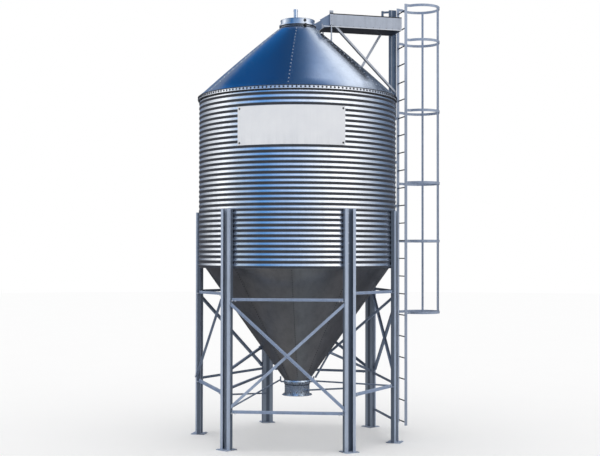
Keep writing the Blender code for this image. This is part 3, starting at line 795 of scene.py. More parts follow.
class Coat:
    """One material while it is made: its board, its coordinates and its shader."""

    def __init__(self, name: str) -> None:
        """Starts the material.

        Args:
            name: the material's name.
        """
        self.material = bpy.data.materials.new(name)
        self.material.use_nodes = True
        self.board = Board(self.material.node_tree)
        self.shader = self.material.node_tree.nodes["Principled BSDF"]
        self.spot = self.board.put("ShaderNodeTexCoord").outputs["Object"]

    def end(self, colour: Feed, rough: Feed, height: Socket | None = None) -> bpy.types.Material:
        """Joins the results to the shader.

        Args:
            colour: the base colour.
            rough: the roughness.
            height: the fine relief in metres, where there is any.

        Returns:
            The material.
        """
        self.board.feed(self.shader.inputs["Base Color"], colour)
        self.board.feed(self.shader.inputs["Roughness"], rough)
        if height:
            sockets = {"Strength": 1.0, "Distance": 1.0, "Height": height}
            bump = self.board.put("ShaderNodeBump", sockets)
            self.board.feed(self.shader.inputs["Normal"], bump.outputs[0])
        return self.material


class Axis(Enum):
    """The axis that a shaded band is measured on."""

    X = 0
    Y = 1
    Z = 2


@dataclass(frozen=True)
class Band:
    """A darker or lighter band across a finish, from low to high on one axis."""

    axis: Axis
    low: float
    high: float
    colour: Rgb
    strength: float = 1.0


@dataclass(frozen=True)
class Channel:
    """Painted shade on a lipped channel's faces, for the leg at one angle: the recess, the lip's
    painted shadow in it, the sides, and the inner web with a darker groove.
    """

    angle: float
    recess: Rgb = (0.390, 0.460, 0.570)
    shaded: Rgb = (0.130, 0.170, 0.240)
    side: Rgb = (0.115, 0.142, 0.190)
    web: Rgb = (0.280, 0.330, 0.410)
    groove: Rgb = (0.100, 0.126, 0.170)


@dataclass(frozen=True)
class Galvanised:
    """Zinc-coated steel: crystals and clouds, rain streaks, dust, and the sheet's own ripple.

    What a bar under an open sky is made with is the default. Painted shade on faces that look down
    or inward, under each corrugation's crest and on the legs' channel, and the bands are laid over
    the rest.
    """

    name: str
    slot: str
    light: Rgb
    dark: Rgb
    grime: Rgb
    metallic: float = 0.3
    roughness: Point2 = (0.36, 0.50)
    crystals: float = 70.0
    clouds: float = 1.6
    streaks: float = 0.30
    dust: float = 0.20
    waves: float = 6.0
    ripple: float = 0.0004
    # How strongly painted shade darkens the flank under each corrugation's crest.
    shade: float = 0.0
    # Painted shade on faces that look toward the bin's axis.
    inward: Rgb | None = None
    # Painted shade on faces that look down.
    downward_shade: Rgb | None = None
    channel: Channel | None = None
    bands: tuple[Band, ...] = ()
    streak_rough: float = 0.12
    dust_rough: float = 0.8
    shade_rough: float = 0.10
    # How much of the inward faces' colour is the flat painted shade colour.
    inward_share: float = 0.75
    crystal_relief: float = 0.00002

    def make(self, effects: Effects) -> bpy.types.Material:
        """Builds the material.

        Args:
            effects: the shared shader groups.

        Returns:
            The material.
        """
        coat = Coat(self.name)
        board, spot = coat.board, coat.spot
        sockets = {"Vector": spot, "Crystals": self.crystals, "Clouds": self.clouds}
        spangle = board.group(effects.spangle, sockets)
        streak = board.group(effects.streaks, {"Vector": spot})["Mask"]
        dust = board.group(effects.dust, {"Vector": spot})["Mask"]
        colour = board.blend(spangle["Tone"], self.dark, self.light)
        colour = board.blend(board.math("MULTIPLY", streak, self.streaks), colour, self.grime)
        colour = board.blend(board.math("MULTIPLY", dust, self.dust), colour, self.grime)
        rough = board.remap(spangle["Tone"], 0.0, 1.0, self.roughness[1], self.roughness[0])
        rough = board.math("MULTIPLY_ADD", streak, self.streak_rough * self.streaks, rough)
        rough = board.math("MULTIPLY_ADD", dust, self.dust_rough * self.dust, rough)
        # Painted shade: the flank under each corrugation's crest is darkened towards the grime
        # colour.
        if self.shade:
            pitch, crest = SIZES.corrugation_pitch, SIZES.corrugation_crest
            sockets = {"Vector": spot, "Pitch": pitch, "Crest": crest}
            low = board.group(effects.valley_shade, sockets)["Mask"]
            colour = board.blend(board.math("MULTIPLY", low, self.shade), colour, self.grime)
            rough = board.math("MULTIPLY_ADD", low, self.shade_rough, rough)
        colour = self.tone(coat, effects, spangle["Tone"], colour)
        sockets = {"Vector": spot, "Waves": self.waves, "Depth": self.ripple}
        height = board.group(effects.ripple, sockets)["Height"]
        height = board.math("MULTIPLY_ADD", spangle["Height"], self.crystal_relief, height)
        coat.shader.inputs["Metallic"].default_value = self.metallic
        return coat.end(colour, rough, height)

    def tone(self, coat: Coat, effects: Effects, crystal: Socket, colour: Socket) -> Socket:
        """Lays the painted shade and the bands over the finish's plain colour.

        Args:
            coat: the material while it is made.
            effects: the shared shader groups.
            crystal: the brightness of the zinc crystals.
            colour: the plain colour.

        Returns:
            The colour with every tone on it.
        """
        board = coat.board
        # Painted shade on faces that look toward the bin's axis; faces that look away or up keep
        # their colour.
        if self.inward:
            sockets = {"Vector": coat.spot, "Axis": SIZES.axis}
            lit = board.group(effects.outer, sockets)["Mask"]
            inward_shade_colour = board.blend(crystal, self.inward, colour)
            inward_shade_colour = board.blend(self.inward_share, inward_shade_colour, self.inward)
            colour = board.blend(lit, inward_shade_colour, colour)
        if self.channel:
            colour = self.tone_channel(coat, effects, colour)
        for band in self.bands:
            value = board.parts(coat.spot)[band.axis.value]
            sockets = {"Value": value, "Low": band.low, "High": band.high}
            mask = board.group(effects.between, sockets)["Mask"]
            colour = board.blend(board.math("MULTIPLY", mask, band.strength), colour, band.colour)
        # Painted shade on faces that look down.
        if self.downward_shade:
            normal = board.put("ShaderNodeNewGeometry").outputs["True Normal"]
            mask = board.remap(board.parts(normal)[2], -0.5, -0.85)
            colour = board.blend(mask, colour, self.downward_shade)
        return colour

    def tone_channel(self, coat: Coat, effects: Effects, colour: Socket) -> Socket:
        """Paints shade on the faces of a lipped channel.

        Args:
            coat: the material while it is made.
            effects: the shared shader groups.
            colour: the colour of the lips.

        Returns:
            The colour of all the faces.
        """
        look = self.channel
        sockets = {
            "Vector": coat.spot,
            "Axis": SIZES.axis,
            "Outward": tuple(SIZES.outward(look.angle)),
            "Along": tuple(SIZES.sideways(look.angle)),
            "Rim": SIZES.wall_radius + SIZES.leg_depth,
        }
        masks = coat.board.group(effects.channel, sockets)
        # Painted shade on the recess, with the lip's painted shadow in it, on the sides and on the
        # inner web and its groove.
        blend = coat.board.blend
        recess = blend(masks["Shaded"], look.recess, look.shaded)
        colour = blend(masks["Recess"], colour, recess)
        colour = blend(masks["Side"], colour, look.side)
        return blend(masks["Web"], colour, blend(masks["Groove"], look.web, look.groove))


@dataclass(frozen=True)
class Enamel:
    """Baked paint on sheet: faint mottling, dust along the bottom and a fine orange peel."""

    name: str
    slot: str
    light: Rgb
    dark: Rgb
    grime: Rgb
    roughness: Point2 = (0.30, 0.42)
    bottom: float = 5.91
    fade: float = 0.25
    crystals: float = 300.0
    clouds: float = 2.4
    across: float = 14.0
    waves: float = 180.0
    ripple: float = 0.00003

    def make(self, effects: Effects) -> bpy.types.Material:
        """Builds the material.

        Args:
            effects: the shared shader groups.

        Returns:
            The material.
        """
        coat = Coat(self.name)
        board, spot = coat.board, coat.spot
        sockets = {"Vector": spot, "Crystals": self.crystals, "Clouds": self.clouds}
        tone = board.group(effects.spangle, sockets)["Tone"]
        streak = board.group(effects.streaks, {"Vector": spot, "Across": self.across})["Mask"]
        height, top = board.parts(spot)[2], self.bottom + self.fade
        low = board.remap(height, self.bottom, top, 0.35, 0.06, smooth=True)
        colour = board.blend(tone, self.dark, self.light)
        colour = board.blend(board.math("MULTIPLY", low, streak), colour, self.grime)
        rough = board.remap(tone, 0.0, 1.0, *self.roughness)
        sockets = {"Vector": spot, "Waves": self.waves, "Depth": self.ripple}
        return coat.end(colour, rough, board.group(effects.ripple, sockets)["Height"])


@dataclass(frozen=True)
class Rubber:
    """The dark sealing washers, greyed by weather; it also dresses the dark rings that stand for
    the shade under the eave and under the neck's collar.
    """

    name: str = "sealing_washer"
    slot: str = "frame_steel"
    light: Rgb = (0.060, 0.062, 0.068)
    dark: Rgb = (0.018, 0.018, 0.020)
    roughness: Point2 = (0.55, 0.85)
    grain: float = 90.0

    def make(self, effects: Effects) -> bpy.types.Material:
        """Builds the material.

        Args:
            effects: the shared shader groups.

        Returns:
            The material.
        """
        coat = Coat(self.name)
        board = coat.board
        dust = board.group(effects.dust, {"Vector": coat.spot})["Mask"]
        patchy = board.remap(board.noise(coat.spot, self.grain, 3.0), 0.4, 0.7)
        worn = board.math("MAXIMUM", dust, patchy)
        rough = board.remap(worn, 0.0, 1.0, *self.roughness)
        return coat.end(board.blend(worn, self.dark, self.light), rough)


Finish = Galvanised | Enamel | Rubber

# The finishes of the bin.

# The wall's grime colour serves its rain streaks and the painted shade under each corrugation's
# crest.
WALL_ZINC = Galvanised(
    "wall_zinc", "corrugated_steel", (0.86, 0.88, 0.91), (0.70, 0.73, 0.78), (0.05, 0.052, 0.055),
    metallic=1.0, roughness=(0.18, 0.26), streaks=0.10, dust=0.0, waves=1.8, ripple=0.0010,
    shade=0.55,
)  # fmt: skip
ROOF_ZINC = Galvanised(
    "roof_zinc", "roof_steel", (0.66, 0.70, 0.76), (0.57, 0.61, 0.68), (0.20, 0.22, 0.25),
    metallic=1.0, roughness=(0.15, 0.22), streaks=0.12, dust=0.03, waves=1.4, ripple=0.0020,
)  # fmt: skip
HOPPER_ZINC = Galvanised(
    "hopper_zinc", "hopper_steel", (0.47, 0.46, 0.45), (0.38, 0.37, 0.36), (0.18, 0.18, 0.18),
    metallic=1.0, roughness=(0.30, 0.42), dust=0.0, waves=2.4, ripple=0.0018,
)  # fmt: skip
LEG_ZINC = Galvanised(
    "leg_zinc", "frame_steel", (0.54, 0.62, 0.76), (0.42, 0.50, 0.64), (0.16, 0.18, 0.22),
    dust=0.25, waves=5.0,
)  # fmt: skip
# Each leg gets painted shade on its recess, sides and inner web, set for its angle.
LEG_LOOKS = {
    leg: replace(LEG_ZINC, name=f"{leg.node}_zinc", channel=Channel(leg.value)) for leg in LegName
}
# Bars take painted shade on their faces that look toward the bin's axis.
FRAME_ZINC = Galvanised(
    "frame_zinc", "frame_steel", (0.44, 0.53, 0.69), (0.34, 0.42, 0.57), (0.14, 0.16, 0.20),
    dust=0.25, waves=5.0, inward=(0.130, 0.165, 0.230),
)  # fmt: skip
# Painted shade: the rungs between the stringers are darkened to a near-black blue.
LADDER_ZINC = Galvanised(
    "ladder_zinc", "ladder_steel", (0.42, 0.49, 0.62), (0.32, 0.38, 0.50), (0.12, 0.14, 0.18),
    bands=(Band(Axis.Y, -0.243, 0.21, (0.006, 0.014, 0.032)),),
)  # fmt: skip
# The hoops' undersides take painted shade.
CAGE_ZINC = Galvanised(
    "cage_zinc", "ladder_steel", (0.39, 0.46, 0.59), (0.29, 0.35, 0.47), (0.12, 0.14, 0.18),
    downward_shade=(0.045, 0.055, 0.075),
)  # fmt: skip
# A painted highlight runs up one strip of the post.
POST_ZINC = Galvanised(
    "post_zinc", "ladder_steel", (0.120, 0.175, 0.260), (0.080, 0.120, 0.190), (0.05, 0.06, 0.08),
    metallic=0.4, roughness=(0.34, 0.48), streaks=0.35,
    bands=(Band(Axis.X, 1.645, 1.672, (0.30, 0.34, 0.41)),),
)  # fmt: skip
# The catwalk's inner end is tinted dark blue; a painted shadow line runs along the top flange of
# its side panels, a painted highlight along their bottom flange, and its underside takes painted
# shade.
WALKWAY_ZINC = Galvanised(
    "walkway_zinc", "walkway_steel", (0.50, 0.54, 0.62), (0.40, 0.44, 0.52), (0.18, 0.20, 0.24),
    roughness=(0.34, 0.46), streaks=0.28, dust=0.10, waves=4.0, ripple=0.0006,
    bands=(
        Band(Axis.X, -0.4, 0.072, (0.130, 0.200, 0.330), 0.85),
        Band(Axis.Z, 8.818, 8.845, (0.012, 0.014, 0.018)),
        Band(Axis.Z, 8.553, 8.572, (0.72, 0.75, 0.80)),
    ),
    downward_shade=(0.016, 0.020, 0.030),
)  # fmt: skip
# The struts' undersides take painted shade.
STRUT_ZINC = Galvanised(
    "strut_zinc", "walkway_steel", (0.58, 0.62, 0.69), (0.46, 0.50, 0.58), (0.18, 0.20, 0.24),
    downward_shade=(0.060, 0.070, 0.090),
)  # fmt: skip
TRIM_ZINC = Galvanised(
    "trim_zinc", "frame_steel", (0.84, 0.86, 0.90), (0.68, 0.71, 0.77), (0.16, 0.18, 0.22),
    metallic=0.8, roughness=(0.22, 0.32), streaks=0.25, dust=0.08,
)  # fmt: skip
NECK_ZINC = Galvanised(
    "neck_zinc", "frame_steel", (0.78, 0.82, 0.90), (0.60, 0.66, 0.76), (0.10, 0.11, 0.13),
    metallic=1.0, roughness=(0.12, 0.20), streaks=0.25, dust=0.05, waves=9.0, ripple=0.0012,
)  # fmt: skip
# A painted shadow line runs round the collar just under the clamp band.
BOOT_ZINC = Galvanised(
    "boot_zinc", "frame_steel", (0.74, 0.84, 0.96), (0.54, 0.64, 0.78), (0.10, 0.12, 0.15),
    metallic=0.9, roughness=(0.18, 0.30), dust=0.10, waves=8.0, ripple=0.0006,
    bands=(Band(Axis.Z, 1.085, 1.104, (0.030, 0.036, 0.046)),),
)  # fmt: skip
BOLT_ZINC = Galvanised(
    "bolt_zinc", "frame_steel", (0.80, 0.83, 0.88), (0.62, 0.66, 0.73), (0.14, 0.15, 0.18),
    metallic=0.6, roughness=(0.26, 0.40), crystals=200.0, streaks=0.15, dust=0.10, waves=40.0,
    ripple=0.0001,
)  # fmt: skip
DARK_BOLT = replace(
    BOLT_ZINC, name="dark_bolt", light=(0.100, 0.105, 0.115), dark=(0.050, 0.054, 0.060),
    grime=(0.05, 0.05, 0.06), roughness=(0.34, 0.50),
)  # fmt: skip
SIGN_ENAMEL = Enamel(
    "sign_enamel", "sign_sheet", (0.790, 0.805, 0.835), (0.700, 0.720, 0.765), (0.46, 0.48, 0.52)
)
RUBBER = Rubber()
FINISHES = (
    WALL_ZINC, ROOF_ZINC, HOPPER_ZINC, FRAME_ZINC, LADDER_ZINC, CAGE_ZINC, POST_ZINC,
    WALKWAY_ZINC, STRUT_ZINC, TRIM_ZINC, NECK_ZINC, BOOT_ZINC, BOLT_ZINC, DARK_BOLT,
    SIGN_ENAMEL, RUBBER, *LEG_LOOKS.values(),
)  # fmt: skip


class Workshop:
    """The materials and rules that all sub-assemblies share, and the last step of each piece."""

    def __init__(self) -> None:
        """Builds every finish and rule once."""
        effects = Effects()
        self.materials = {finish.name: finish.make(effects) for finish in FINISHES}
        self.sheets = CorrugatedSheetRule()
        self.fasteners = FastenerRule()

    def finish(self, piece: bpy.types.Object, look: Finish, *nodes: str) -> None:
        """Dresses a piece and hangs it on the bin.

        Args:
            piece: the finished shape.
            look: its finish.
            nodes: the CAD nodes that it stands for.
        """
        if not piece.data.materials:
            piece.data.materials.append(self.materials[look.name])
        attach(piece, "root")
        if nodes:
            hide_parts(*nodes)
        log.info("%s: %d faces", piece.name, len(piece.data.polygons))

    def add(self, name: str, bm: bmesh.types.BMesh, look: Finish, *nodes: str) -> None:
        """Makes a finished piece of these faces."""
        self.finish(linked(name, closed_mesh(name, bm)), look, *nodes)

    def turn(
        self, name: str, profile: Sequence[Point2], segments: int, look: Finish, *nodes: str
    ) -> None:
        """Makes a finished piece by turning a closed profile round the bin's axis.

        Args:
            name: the piece's name.
            profile: the radius and height of each corner.
            segments: the steps of the turn.
            look: its finish.
            nodes: the CAD nodes that it stands for.
        """
        bm = bmesh.new()
        Turning(profile, segments).add_to(bm)
        self.add(name, bm, look, *nodes)

    def keep(self, look: Finish, nodes: Iterable[str]) -> None:
        """Gives a finish to CAD nodes that stay.

        Args:
            look: the finish.
            nodes: the nodes' names.
        """
        for node in nodes:
            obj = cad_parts[node]
            if not obj.material_slots:
                obj.data.materials.append(None)
            for place in obj.material_slots:
                place.material = self.materials[look.name]
            log.info("%s: dressed as %s", node, look.name)

    def bolt(
        self,
        name: str,
        spots: Sequence[Spot],
        kind: FastenerKind,
        washer: Finish = BOLT_ZINC,
        head: Finish = BOLT_ZINC,
    ) -> None:
        """Sets one bolt at each spot, all of them in one piece.

        Args:
            name: the piece's name.
            spots: a point and its outward direction for each bolt.
            kind: the size of the bolts.
            washer: the finish of the washers.
            head: the finish of the heads.
        """
        seed = bpy.data.meshes.new(name + "_points")
        seed.from_pydata([spot for spot, _ in spots], [], [])
        facing = seed.attributes.new("facing", "FLOAT_VECTOR", "POINT")
        facing.data.foreach_set("vector", [c for _, out in spots for c in out.normalized()])
        sizes = {
            "Head Radius": kind.value.head_radius,
            "Head Height": kind.value.head_height,
            "Washer Radius": kind.value.washer_radius,
            "Washer Height": kind.value.washer_height,
            "Seed": 7,
            "Head Material": self.materials[head.name],
            "Washer Material": self.materials[washer.name],
        }
        self.finish(self.fasteners.grow(name, seed, sizes), head)


class CadFaces:
    """The faces of some CAD nodes, for finding where a bolt sits on them."""

    def __init__(self, *nodes: str) -> None:
        """Gathers the faces.

        Args:
            nodes: the nodes' names.
        """
        self.points: list[Vector] = []
        faces: list[tuple[int, ...]] = []
        for node in nodes:
            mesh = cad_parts[node].data
            base = len(self.points)
            self.points += [vert.co.copy() for vert in mesh.vertices]
            faces += [tuple(base + k for k in face.vertices) for face in mesh.polygons]
        self.tree = BVHTree.FromPolygons(self.points, faces)

    def find(self, start: Vector, direction: Vector, reach: float = 1.0) -> list[Spot]:
        """Where a line from start first meets a face.

        Args:
            start: where the line starts, outside the node.
            direction: where it goes.
            reach: how far it looks.

        Returns:
            The point and the face's outward direction, or nothing.
        """
        point, normal, _, _ = self.tree.ray_cast(start, direction.normalized(), reach)
        if point is None:
            return []
        return [(point, normal if normal.dot(direction) < 0 else -normal)]

    def ends(self, depth: float = 0.02) -> tuple[Vector, Vector]:
        """The middles of a bar's two ends.

        Args:
            depth: how deep an end is taken to be.

        Returns:
            One point for each end.
        """
        pairs = ((a, b) for a in self.points for b in self.points)
        first, second = max(pairs, key=lambda pair: (pair[0] - pair[1]).length_squared)
        middles = []
        for end, other in ((first, second), (second, first)):
            along = (other - end).normalized()
            near = [p for p in self.points if (p - end).dot(along) < depth]
            middles.append(sum(near, Vector()) / len(near))
        return middles[0], middles[1]


# The sub-assemblies.


@dataclass
class CorrugatedWall:
    """Three courses of two corrugated sheets, lapped at the side seams."""

    shop: Workshop
    sheet: float = 0.0012
    lap_angle: float = math.radians(1.6)
    lap_lift: float = 0.0016
    columns: int = 82
    samples: int = 12
    levels: tuple[str, ...] = ("lower", "middle", "upper")
    bolt_angles: Point2 = (0.35, 1.1)
    clear_top: float = 0.05

    def build(self) -> None:
        """Rolls the six sheets and bolts their seams."""
        for level in self.levels:
            for half, start in (("front", SIZES.seam - 180.0), ("back", SIZES.seam)):
                self.roll(f"wall_{level}_{half}", start)
        self.bolt_seams()

    def roll(self, node: str, start: float) -> None:
        """Rolls one sheet.

        Args:
            node: the CAD node that it stands for.
            start: the angle of its first edge.
        """
        low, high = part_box(node)
        sizes = {
            "Axis X": SIZES.axis_x,
            "Axis Y": SIZES.axis_y,
            "Radius": SIZES.wall_radius,
            "Depth": SIZES.corrugation_depth,
            "Pitch": SIZES.corrugation_pitch,
            "Crest": SIZES.corrugation_crest,
            "Sheet": self.sheet,
            "Low": low.z,
            "High": high.z,
            "Start": math.radians(start),
            "Sweep": math.pi,
            "Lap Angle": self.lap_angle,
            "Lap Lift": self.lap_lift,
            "Columns": self.columns,
            "Rows": round((high.z - low.z) / SIZES.corrugation_pitch * self.samples),
            "Material": self.shop.materials[WALL_ZINC.name],
        }
        name = node.replace("wall", "wall_sheet")
        piece = self.shop.sheets.grow(name, bpy.data.meshes.new(name + "_seed"), sizes)
        self.shop.finish(piece, WALL_ZINC, node)

    def bolt_seams(self) -> None:
        """Two bolts on every other crest along each side seam."""
        spots = []
        for seam in (SIZES.seam, SIZES.seam + 180.0):
            z = SIZES.corrugation_crest
            while z < SIZES.wall_top - self.clear_top:
                for shift in self.bolt_angles:
                    spot = SIZES.around(SIZES.wall_radius + self.lap_lift, seam + shift, z)
                    spots.append((spot, SIZES.outward(seam + shift)))
                z += 2 * SIZES.corrugation_pitch
        self.shop.bolt("wall_seam_bolts", spots, FastenerKind.SMALL)


@dataclass
class EaveTrim:
    """The flared ring under the roof's rim, with its close row of bolts and a dark ring under its
    foot that stands for the shadow there.
    """

    shop: Workshop
    top: Point2 = (2.066, 7.0420)
    foot: Point2 = (2.079, 6.985)
    inner: float = SIZES.wall_radius - 0.014
    shade_ring_inner: float = SIZES.wall_radius - 0.012
    shade_ring_radius: float = 2.070
    sheet: float = 0.003
    bolts: int = 156
    segments: int = 240

    def build(self) -> None:
        """Turns the ring and the dark ring that stands for the shadow under it, and sets the bolts
        halfway down the ring.
        """
        (top_r, top_z), (foot_r, foot_z) = self.top, self.foot
        ring = [
            (self.inner, top_z - self.sheet),
            (self.inner, top_z),
            (top_r, top_z),
            (foot_r, foot_z),
            (foot_r - 0.004, foot_z - 0.002),
            (foot_r - self.sheet - 0.004, foot_z),
            (top_r - self.sheet, top_z - self.sheet),
        ]
        self.shop.turn("eave_skirt", ring, self.segments, TRIM_ZINC, "eave_ring")
        # A dark ring in the rubber finish under the skirt's foot stands for the shadow line there.
        shade_ring = [
            (self.shade_ring_inner, foot_z - 0.016),
            (self.shade_ring_radius - 0.003, foot_z - 0.016),
            (self.shade_ring_radius, foot_z - 0.012),
            (self.shade_ring_radius, foot_z - 0.001),
            (self.shade_ring_inner, foot_z - 0.001),
        ]
        self.shop.turn("eave_shadow_ring", shade_ring, self.segments, RUBBER)
        radius, z = 0.5 * (top_r + foot_r), 0.5 * (top_z + foot_z)
        spots = SIZES.ring(radius, z, self.bolts, (foot_r - top_r) / (top_z - foot_z))
        self.shop.bolt("eave_bolts", spots, FastenerKind.EAVE, RUBBER, DARK_BOLT)


@dataclass
class LappedCone:
    """A cone of lapped panels: what the roof and the hopper share."""

    shop: Workshop
    columns: int
    rows: int
    sheet: float
    lap: float
    lift: float
    bolts: int
    flush_top: bool

    def point(self, share: float) -> Point2:
        """The radius and height of the outer face at this share of the way up."""
        raise NotImplementedError

    def out(self, degrees: float) -> Vector:
        """The outward direction of the cone's face at this angle."""
        raise NotImplementedError

    def add_panel(self, bm: bmesh.types.BMesh, start: float, sweep: float) -> None:
        """Adds one panel, whose far edge lies over the next panel.

        Args:
            bm: where it goes.
            start: the angle of its near edge.
            sweep: the angle to its far edge.
        """

        def place(i: int, j: int, outside: bool) -> Vector:
            """A point of the panel.

            Args:
                i: the column.
                j: the row.
                outside: whether it is on the outer face.

            Returns:
                The point.
            """
            radius, z = self.point(j / self.rows)
            angle = start + sweep * min(i, self.columns) / self.columns
            if i > self.columns:
                angle += math.degrees(self.lap / radius)
            flush = i < self.columns or (self.flush_top and j == self.rows)
            depth = (0.0 if outside else self.sheet) - (0.0 if flush else self.lift)
            return SIZES.around(radius, angle, z) - self.out(angle) * depth

        add_shell(bm, self.columns + 1, self.rows, place)

    def seam_spots(self, starts: Iterable[float], points: Sequence[Point2]) -> list[Spot]:
        """Spots down the middle of each lap.

        Args:
            starts: the angle where each lap starts.
            points: the radius and height of each bolt.

        Returns:
            The spots of all the laps.
        """
        spots = []
        for start in starts:
            for radius, z in points:
                seam = start + math.degrees(0.5 * self.lap / radius)
                out = self.out(seam)
                spots.append((SIZES.around(radius, seam, z) + out * self.lift, out))
        return spots


@dataclass
class ConeRoof(LappedCone):
    """Six slightly crowned roof panels with bolted side seams."""

    columns: int = 26
    rows: int = 18
    sheet: float = 0.0020
    lap: float = 0.045
    lift: float = 0.0024
    bolts: int = 17
    flush_top: bool = False
    seams: tuple[float, ...] = (10.0, 70.0, 130.0, 194.5, 249.2, 310.0)
    rim: float = 2.085
    eave: float = SIZES.roof_base - 0.001
    top: float = 0.373
    crown: float = 0.030
    bolt_span: Point2 = (0.47, 2.00)

    def build(self) -> None:
        """Builds the panels, then the seam bolts."""
        bm = bmesh.new()
        for start, end in zip(self.seams, (*self.seams[1:], self.seams[0] + 360.0)):
            self.add_panel(bm, start, end - start)
        nodes = [f"roof_quarter_{k}" for k in range(1, 5)]
        self.shop.add("roof_panels", bm, ROOF_ZINC, *nodes)
        near, far = self.bolt_span
        radii = [near + (far - near) * n / (self.bolts - 1) for n in range(self.bolts)]
        points = [(r, SIZES.roof_height(r) + self.rise(r)) for r in radii]
        spots = self.seam_spots(self.seams, points)
        self.shop.bolt("roof_seam_bolts", spots, FastenerKind.ROOF)

    def rise(self, radius: float) -> float:
        """How far the sheets bow up above the straight cone."""
        share = (self.rim - radius) / (self.rim - self.top)
        return self.crown * math.sin(math.pi * min(max(share, 0.0), 1.0)) ** 0.7

    def point(self, share: float) -> Point2:
        """The radius and height of the outer face at this share of the way up."""
        radius = self.rim + (self.top - self.rim) * share
        return radius, max(SIZES.roof_height(radius), self.eave) + self.rise(radius)

    def out(self, degrees: float) -> Vector:
        """The outward direction of the cone's face at this angle."""
        tilt = math.atan(SIZES.roof_slope())
        return SIZES.outward(degrees) * math.sin(tilt) + UP * math.cos(tilt)


@dataclass
class Hopper(LappedCone):
    """Ten lapped cone panels with bolted side seams."""

    columns: int = 16
    rows: int = 22
    sheet: float = 0.0025
    lap: float = 0.050
    lift: float = 0.0030
    bolts: int = 48
    flush_top: bool = True
    panels: int = 10
    sweep: float = 36.0
    low: float = SIZES.hopper_low + 0.001
    inset: float = 0.0005
    bolt_span: Point2 = (SIZES.hopper_low + 0.10, SIZES.hopper_high - 0.20)

    def build(self) -> None:
        """Builds two panels for each CAD node, then the seam bolts."""
        starts = [SIZES.seam - 90.0 + self.sweep * k for k in range(self.panels)]
        for pair in range(self.panels // 2):
            bm = bmesh.new()
            for start in starts[2 * pair : 2 * pair + 2]:
                self.add_panel(bm, start, self.sweep)
            number = pair + 1
            self.shop.add(f"hopper_panels_{number}", bm, HOPPER_ZINC, f"hopper_panel_{number}")
        low, high = self.bolt_span
        levels = [low + (high - low) * n / (self.bolts - 1) for n in range(self.bolts)]
        spots = self.seam_spots(starts, [(SIZES.hopper_at(z), z) for z in levels])
        self.shop.bolt("hopper_seam_bolts", spots, FastenerKind.SMALL, RUBBER, DARK_BOLT)

    def point(self, share: float) -> Point2:
        """The radius and height of the outer face at this share of the way up."""
        z = self.low + (SIZES.hopper_high - self.low) * share
        return SIZES.hopper_at(z) - self.inset, z

    def out(self, degrees: float) -> Vector:
        """The outward direction of the cone's face at this angle."""
        run, rise = SIZES.hopper_wide - SIZES.hopper_radius, SIZES.hopper_high - SIZES.hopper_low
        return (SIZES.outward(degrees) * rise - UP * run).normalized()


@dataclass
class NeckAndCap:
    """The ring round the fill opening, its clamp band, and the lid with its latch and vent."""

    shop: Workshop
    radius: float = 0.388
    drum_radius: float = 0.356
    ring_low: float = 8.50
    ring_top: float = 8.600
    lid_top: float = 8.70
    lid_gap: float = 0.0004
    opening: float = 0.330
    vent_top: float = 8.935
    vent_shift: float = -0.046
    vent_radius: float = 0.044
    latch_angle: float = -80.0
    bolts: int = 40
    segments: int = 128

    def build(self) -> None:
        """Turns the ring, the dark ring that stands for the shade under its collar and the lid, and
        sets the bolts and the latch.
        """
        neck, top = self.radius, self.ring_top
        ring = [
            (neck - 0.024, self.ring_low),
            (neck - 0.016, self.ring_low),
            (neck - 0.016, top - 0.042),
            (neck, top - 0.034),
            (neck, top - 0.006),
            (neck - 0.012, top),
            (self.opening, top),
            (self.opening, top - 0.008),
            (neck - 0.024, top - 0.010),
        ]
        ring = softened(ring, 0.004)
        self.shop.turn("neck_collar", ring, self.segments, NECK_ZINC, "neck_ring")
        # A dark ring in the rubber finish, tucked under the collar's bulge, stands for the shade
        # there.
        shade_ring = [
            (neck - 0.020, top - 0.053),
            (neck - 0.006, top - 0.052),
            (neck - 0.003, top - 0.047),
            (neck - 0.006, top - 0.042),
            (neck - 0.020, top - 0.041),
        ]
        self.shop.turn("neck_shade_ring", shade_ring, self.segments, RUBBER)
        self.cap()
        spots = SIZES.ring(neck - 0.016, top - 0.068, self.bolts)
        self.shop.bolt("neck_bolts", spots, FastenerKind.SMALL, DARK_BOLT, DARK_BOLT)
        places = ((neck, top - 0.045), (self.drum_radius, self.lid_top - 0.05))
        out = SIZES.outward(self.latch_angle)
        spots = [(SIZES.around(r, self.latch_angle, z), out) for r, z in places]
        self.shop.bolt("lid_latch", spots, FastenerKind.LATCH, RUBBER, DARK_BOLT)

    def cap(self) -> None:
        """The lid's drum with a rolled top and bottom edge, and the vent pipe."""
        drum, bottom = self.drum_radius, self.ring_top + self.lid_gap
        top, end, pipe = self.lid_top, self.vent_top, self.vent_radius
        lid = [
            (drum - 0.003, bottom),
            (drum + 0.005, bottom),
            (drum + 0.005, bottom + 0.010),
            (drum, bottom + 0.012),
            (drum, bottom + 0.018),
            (drum, top - 0.024),
            (drum, top - 0.018),
            (drum + 0.005, top - 0.016),
            (drum + 0.005, top - 0.005),
            (drum - 0.006, top),
            (0.060, top + 0.004),
            (0.0, top + 0.004),
            (0.0, top - 0.004),
            (drum - 0.011, top - 0.008),
            (drum - 0.007, bottom + 0.02),
        ]
        vent = [
            (0.0, top - 0.002),
            (pipe + 0.012, top - 0.002),
            (pipe + 0.010, top + 0.010),
            (pipe, top + 0.014),
            (pipe, end - 0.040),
            (pipe + 0.005, end - 0.038),
            (pipe + 0.005, end - 0.004),
            (pipe, end),
            (0.0, end),
        ]
        bm = bmesh.new()
        Turning(lid, self.segments).add_to(bm)
        Turning(vent, 32, self.vent_shift).add_to(bm)
        self.shop.add("cap_with_vent", bm, NECK_ZINC, "cap_lid")


